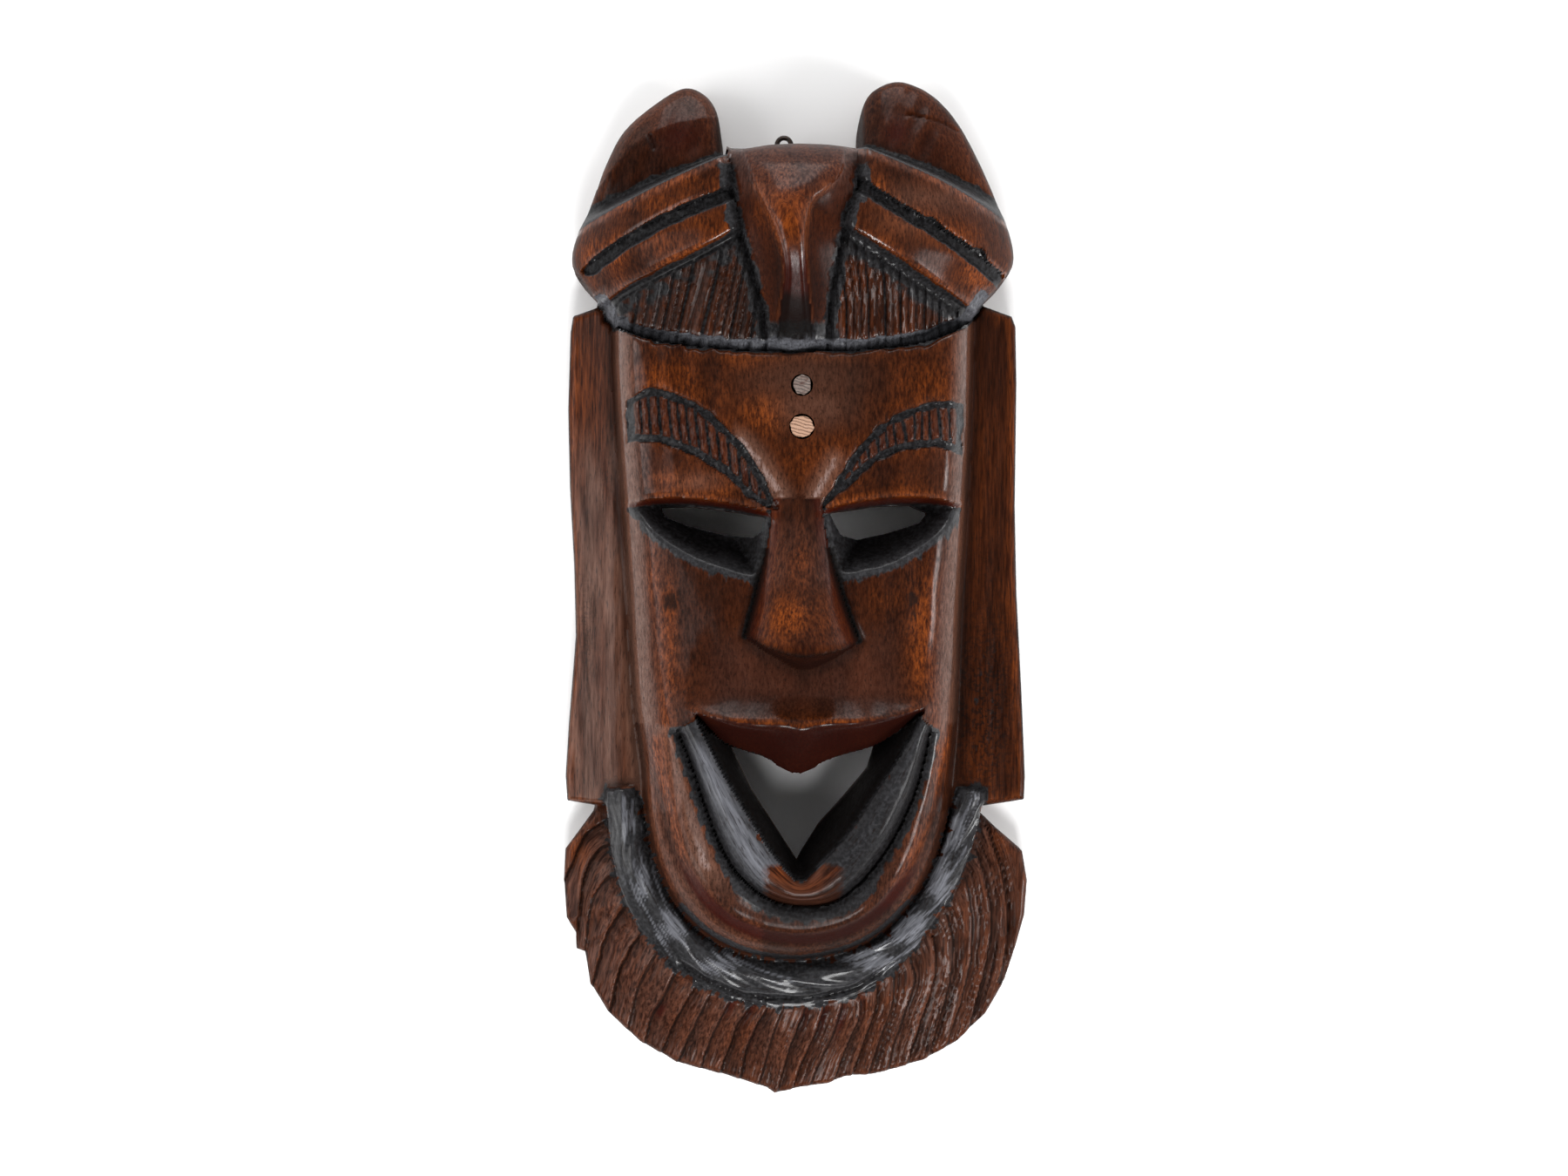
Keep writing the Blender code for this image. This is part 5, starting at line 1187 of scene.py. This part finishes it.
def stained_wood():
    """Colours laid over each other by the masks on the mesh, and the grain in colour, gloss and relief."""
    material, tree, shader = new_material("stained_wood")
    mask = {name: put(tree, "ShaderNodeAttribute", attribute_name=name)["Fac"] for name in finish_masks}
    grain = put(tree, "ShaderNodeGroup", node_tree=GRAIN)
    fibres, figure = grain["Fibres"], grain["Figure"]
    worn = maths(tree, "ADD", mask["worn"], times(tree, mask["edge"], 0.22))
    worn = times(tree, worn, times(tree, fibres, 0.5, 0.45), clamp=True)
    worn = times(tree, worn, ramp_of(tree, figure, 0.0, 0.8, 0.45, 1.45), clamp=True)
    bright = times(tree, ramp_of(tree, mask["haze"], 0.80, 1.0), ramp_of(tree, fibres, 0.0, 0.7))
    cut = ragged(tree, mask["cut"], 500.0, 0.5, 0.62)
    paint = ragged(tree, mask["paint"], 650.0, 0.55)
    pitted = noise(tree, put(tree, "ShaderNodeTexCoord")["Object"], 900.0, 3.0)
    scuffed = times(tree, ramp_of(tree, pitted, 0.42, 0.66), 0.7, times(tree, mask["edge"], 0.4), clamp=True)
    scuffed = times(tree, scuffed, times(tree, mask["shine"], -0.8, 1.0), clamp=True)
    # Paint rubbed grey, partly worn through and partly a painted highlight
    rubbed_off = times(tree, mask["rub"], times(tree, fibres, 0.5, 0.28))
    painted = blend(tree, rubbed_off, blend(tree, scuffed, BLACK_PAINT, PAINT_WORN), PAINT_RUBBED)
    pits = times(tree, ramp_of(tree, pitted, 0.50, 0.58), times(tree, mask["rough"], 0.7))
    colour = blend(tree, times(tree, fibres, 0.5, times(tree, figure, 0.5)), STAIN_DARK, STAIN)
    for share, over in ((worn, blend(tree, fibres, RUBBED_DARK, RUBBED)),
                        # Pale dull wood in the cuts and dust, and a painted highlight at the beard's roots
                        (times(tree, mask["dust"], 0.75), blend(tree, fibres, CUT_DARK, CUT_WOOD)),
                        # Painted sheen, and a whiter painted highlight where it is strongest
                        (times(tree, mask["haze"], times(tree, fibres, 0.42, 0.48)), HAZE),
                        (times(tree, bright, 0.7), HAZE_BRIGHT),
                        (times(tree, mask["red"], 0.85), GATHERED_RED),
                        (times(tree, cut, 0.8), CUT_FLOOR),
                        (paint, painted),
                        # Painted shade and dirt in soot black, and the pits of the rough patches
                        (times(tree, mask["dirt"], 0.9, pits, clamp=True), SOOT),
                        (mask["back"], blend(tree, figure, STAIN, BACK_WOOD)),
                        (times(tree, grain["Pores"], 0.60), PORE)):
        colour = blend(tree, share, colour, over)
    gloss = times(tree, mask["dust"], 0.2, times(tree, fibres, 0.15, 0.35), clamp=True)
    polish = times(tree, fibres, 0.28, 0.16)
    for name, lost in POLISH_LOST:
        polish = times(tree, polish, times(tree, mask[name], lost, 1.0))
    polish = times(tree, mask["shine"], times(tree, fibres, 0.3, 0.3), polish, clamp=True)
    coarse = maths(tree, "ADD", times(tree, mask["rough"], 1.6), times(tree, paint, 0.7))
    relief = maths(tree, "ADD", times(tree, fibres, 0.35), times(tree, pitted, coarse))
    bumped = put(tree, "ShaderNodeBump", [("Height", relief), ("Strength", 0.55), ("Distance", WOOD_RELIEF)])
    feed(tree, shader, [("Base Color", colour), ("Specular IOR Level", WOOD_SPECULAR), ("Roughness", gloss),
                        ("Coat Weight", polish), ("Coat Roughness", COAT_ROUGHNESS), ("Normal", bumped[0])])
    return material


carving.data.materials.clear()
carving.data.materials.append(stained_wood())


# The two forehead plugs
# Short round pegs of paler wood, glued in and cut off flush, so that sawn end grain shows. The upper one has
# taken up stain and gone grey, and the lower one is nearly bare.

PLUG_SIDES = 72
PLUG_GREY = (0.150, 0.112, 0.096, 1), (0.050, 0.036, 0.030, 1)
PLUG_PALE = (0.350, 0.205, 0.135, 1), (0.130, 0.062, 0.034, 1)
SAW_TURN = 0.25
SAW_MARKS = 9000.0
SAW_DEPTH = 0.00004
PLUG_SUNK = 0.00005
PLUG_CREASE = 0.6


def plug_material(name, light, dark, stain_share):
    """End grain: fine saw lines across the peg over two tones of wood, and stain taken up in patches."""
    material, tree, shader = new_material(name)
    place = put(tree, "ShaderNodeTexCoord")["Object"]
    turned = put(tree, "ShaderNodeMapping", [("Vector", place), ("Rotation", (0.0, 0.0, SAW_TURN))])[0]
    waves = put(tree, "ShaderNodeTexWave", [("Vector", turned), ("Scale", 330.0), ("Distortion", 5.0),
                                            ("Detail", 4.0)], bands_direction="Y")["Fac"]
    lines = ramp_of(tree, waves, 0.05, 0.45)
    colour = blend(tree, ragged(tree, stain_share, 900.0, 1.1), blend(tree, lines, dark, light), STAIN)
    bumped = put(tree, "ShaderNodeBump", [("Height", lines), ("Strength", 0.4), ("Distance", 0.0001)])
    feed(tree, shader, [("Base Color", colour), ("Roughness", ramp_of(tree, lines, 0.0, 1.0, 0.75, 0.5)),
                        ("Normal", bumped[0])])
    return material


def forehead_peg(name, node, oval, seed, material):
    """A peg: rings of a slightly oval, uneven circle from the bottom up, with a worn edge and a sawn top."""
    low, high = np.array(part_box(node))
    turn = np.linspace(0, 2 * np.pi, PLUG_SIDES, endpoint=False)
    rough = 1.0 + 0.035 * uneven(np.cos(turn), np.sin(turn), 1.2, 1.2, seed, 6) - 0.045
    radius = 0.5 * (high[:2] - low[:2])
    share = np.array([0.97, 1.0, 1.0, 0.965, 0.82, 0.62, 0.40, 0.18])
    z = np.append([low[2], low[2] + 0.0004, high[2] - 0.0003], np.full(5, high[2]))
    centre = 0.5 * (low + high)
    ring_x = centre[0] + radius[0] * oval[0] * np.outer(share, rough * np.cos(turn))
    ring_y = centre[1] + radius[1] * oval[1] * np.outer(share, rough * np.sin(turn))
    saw = SAW_DEPTH * np.sin(ring_y * SAW_MARKS) * (share < 0.9)[:, None]
    rings = np.stack([ring_x, ring_y, z[:, None] - PLUG_SUNK + saw], axis=-1)
    peg = new_piece(name, swept(name, rings))
    peg.data.shade_smooth()
    peg.data.set_sharp_from_angle(angle=PLUG_CREASE)
    peg.data.materials.append(material)
    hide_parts(node)
    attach(peg, "root")


forehead_peg("peg_upper", "forehead_plug_upper", (0.93, 1.02), 5,
             plug_material("plug_grey", *PLUG_GREY, 0.34))
forehead_peg("peg_lower", "forehead_plug_lower", (1.03, 0.95), 8,
             plug_material("plug_pale", *PLUG_PALE, 0.05))


# The hanging eye
# A short wire, bent into an open loop and pushed into the end of the crown. The wire has gone dark and dull.

WIRE_GREY = (0.030, 0.028, 0.027, 1)
WIRE_BROWN = (0.045, 0.022, 0.014, 1)


def dark_wire():
    """Darkened steel: patches of dull brown over grey metal."""
    material, tree, shader = new_material("dark_wire")
    patches = ragged(tree, 0.45, 1500.0, 1.0)
    feed(tree, shader, [("Base Color", blend(tree, patches, WIRE_GREY, WIRE_BROWN)), ("Metallic", 0.85),
                        ("Roughness", ramp_of(tree, patches, 0.0, 1.0, 0.35, 0.7))])
    return material


wire_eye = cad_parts["hanging_eye"]
wire_eye.data.materials.clear()
wire_eye.data.materials.append(dark_wire())


# The floor
# A plain pale surface under the mask.

FLOOR_HALF = 3.0
FLOOR_SUNK = 0.0002
floor_points = np.array([(-1, -1, 0), (1, -1, 0), (1, 1, 0), (-1, 1, 0)]) * FLOOR_HALF - (0, 0, FLOOR_SUNK)
floor = new_piece("floor", mesh_of("floor", floor_points, np.array([[0, 1, 2, 3]])))
floor_material, floor_tree, floor_shader = new_material("pale_floor")
feed(floor_tree, floor_shader, [("Base Color", (0.96, 0.96, 0.96, 1)), ("Roughness", 0.9)])
floor.data.materials.append(floor_material)


# The light
# A small soft panel hangs over the beard's end, a broad one on the left, a lower one on the right, and one
# stands low past the horns. The room's pale walls light the mask too, and it is dark overhead.

ROOM_SIDES = 0.85
ROOM_TOP = 1.6
ROOM_REST = 0.12


def soft_panel(name, place, size, power):
    """A square light that looks at the middle of the mask."""
    lamp = bpy.data.lights.new(name, "AREA")
    lamp.size = size
    lamp.energy = power
    panel = new_piece(name, lamp)
    panel.location = place
    towards = -np.array(place)
    panel.rotation_euler = (np.arctan2(np.hypot(towards[0], towards[1]), -towards[2]), 0.0,
                            np.arctan2(towards[1], towards[0]) - np.pi / 2)


soft_panel("panel_front", (0.04, -0.70, 0.83), 0.38, 10.6)
soft_panel("panel_left", (-0.88, -0.12, 0.72), 0.80, 6.8)
soft_panel("panel_right", (0.98, -0.34, 0.50), 0.40, 9.0)
soft_panel("panel_far", (0.0, 1.10, 0.32), 0.60, 6.5)
room = bpy.data.worlds.new("room")
room.use_nodes = True
walls_tree = room.node_tree
towards = put(walls_tree, "ShaderNodeSeparateXYZ", [(0, put(walls_tree, "ShaderNodeTexCoord")["Generated"])])
to_the_top = maths(walls_tree, "MAXIMUM", towards["Y"], 0.0)
end_wall = times(walls_tree, times(walls_tree, to_the_top, to_the_top), ROOM_TOP)
both_walls = times(walls_tree, times(walls_tree, towards["X"], towards["X"]), ROOM_SIDES, end_wall)
feed(walls_tree, walls_tree.nodes["Background"],
     [("Color", (1.0, 1.0, 1.0, 1)), ("Strength", maths(walls_tree, "ADD", both_walls, ROOM_REST))])
bpy.context.scene.world = room
bpy.context.scene.view_settings.view_transform = "Standard"


# The camera
# It looks straight down from 0.8 m, over a point just left of the mask's middle.

CAMERA_HEIGHT = 0.800
CAMERA_AIM = (-3.7, 0.3)
LENS = 59.9
camera = new_piece("camera", bpy.data.cameras.new("camera"))
camera.data.sensor_width = 36.0
camera.data.lens = LENS
aim = placed(*(np.array([value]) for value in CAMERA_AIM), np.zeros(1))[0]
camera.location = (aim[0], aim[1], CAMERA_HEIGHT)
bpy.context.scene.camera = camera
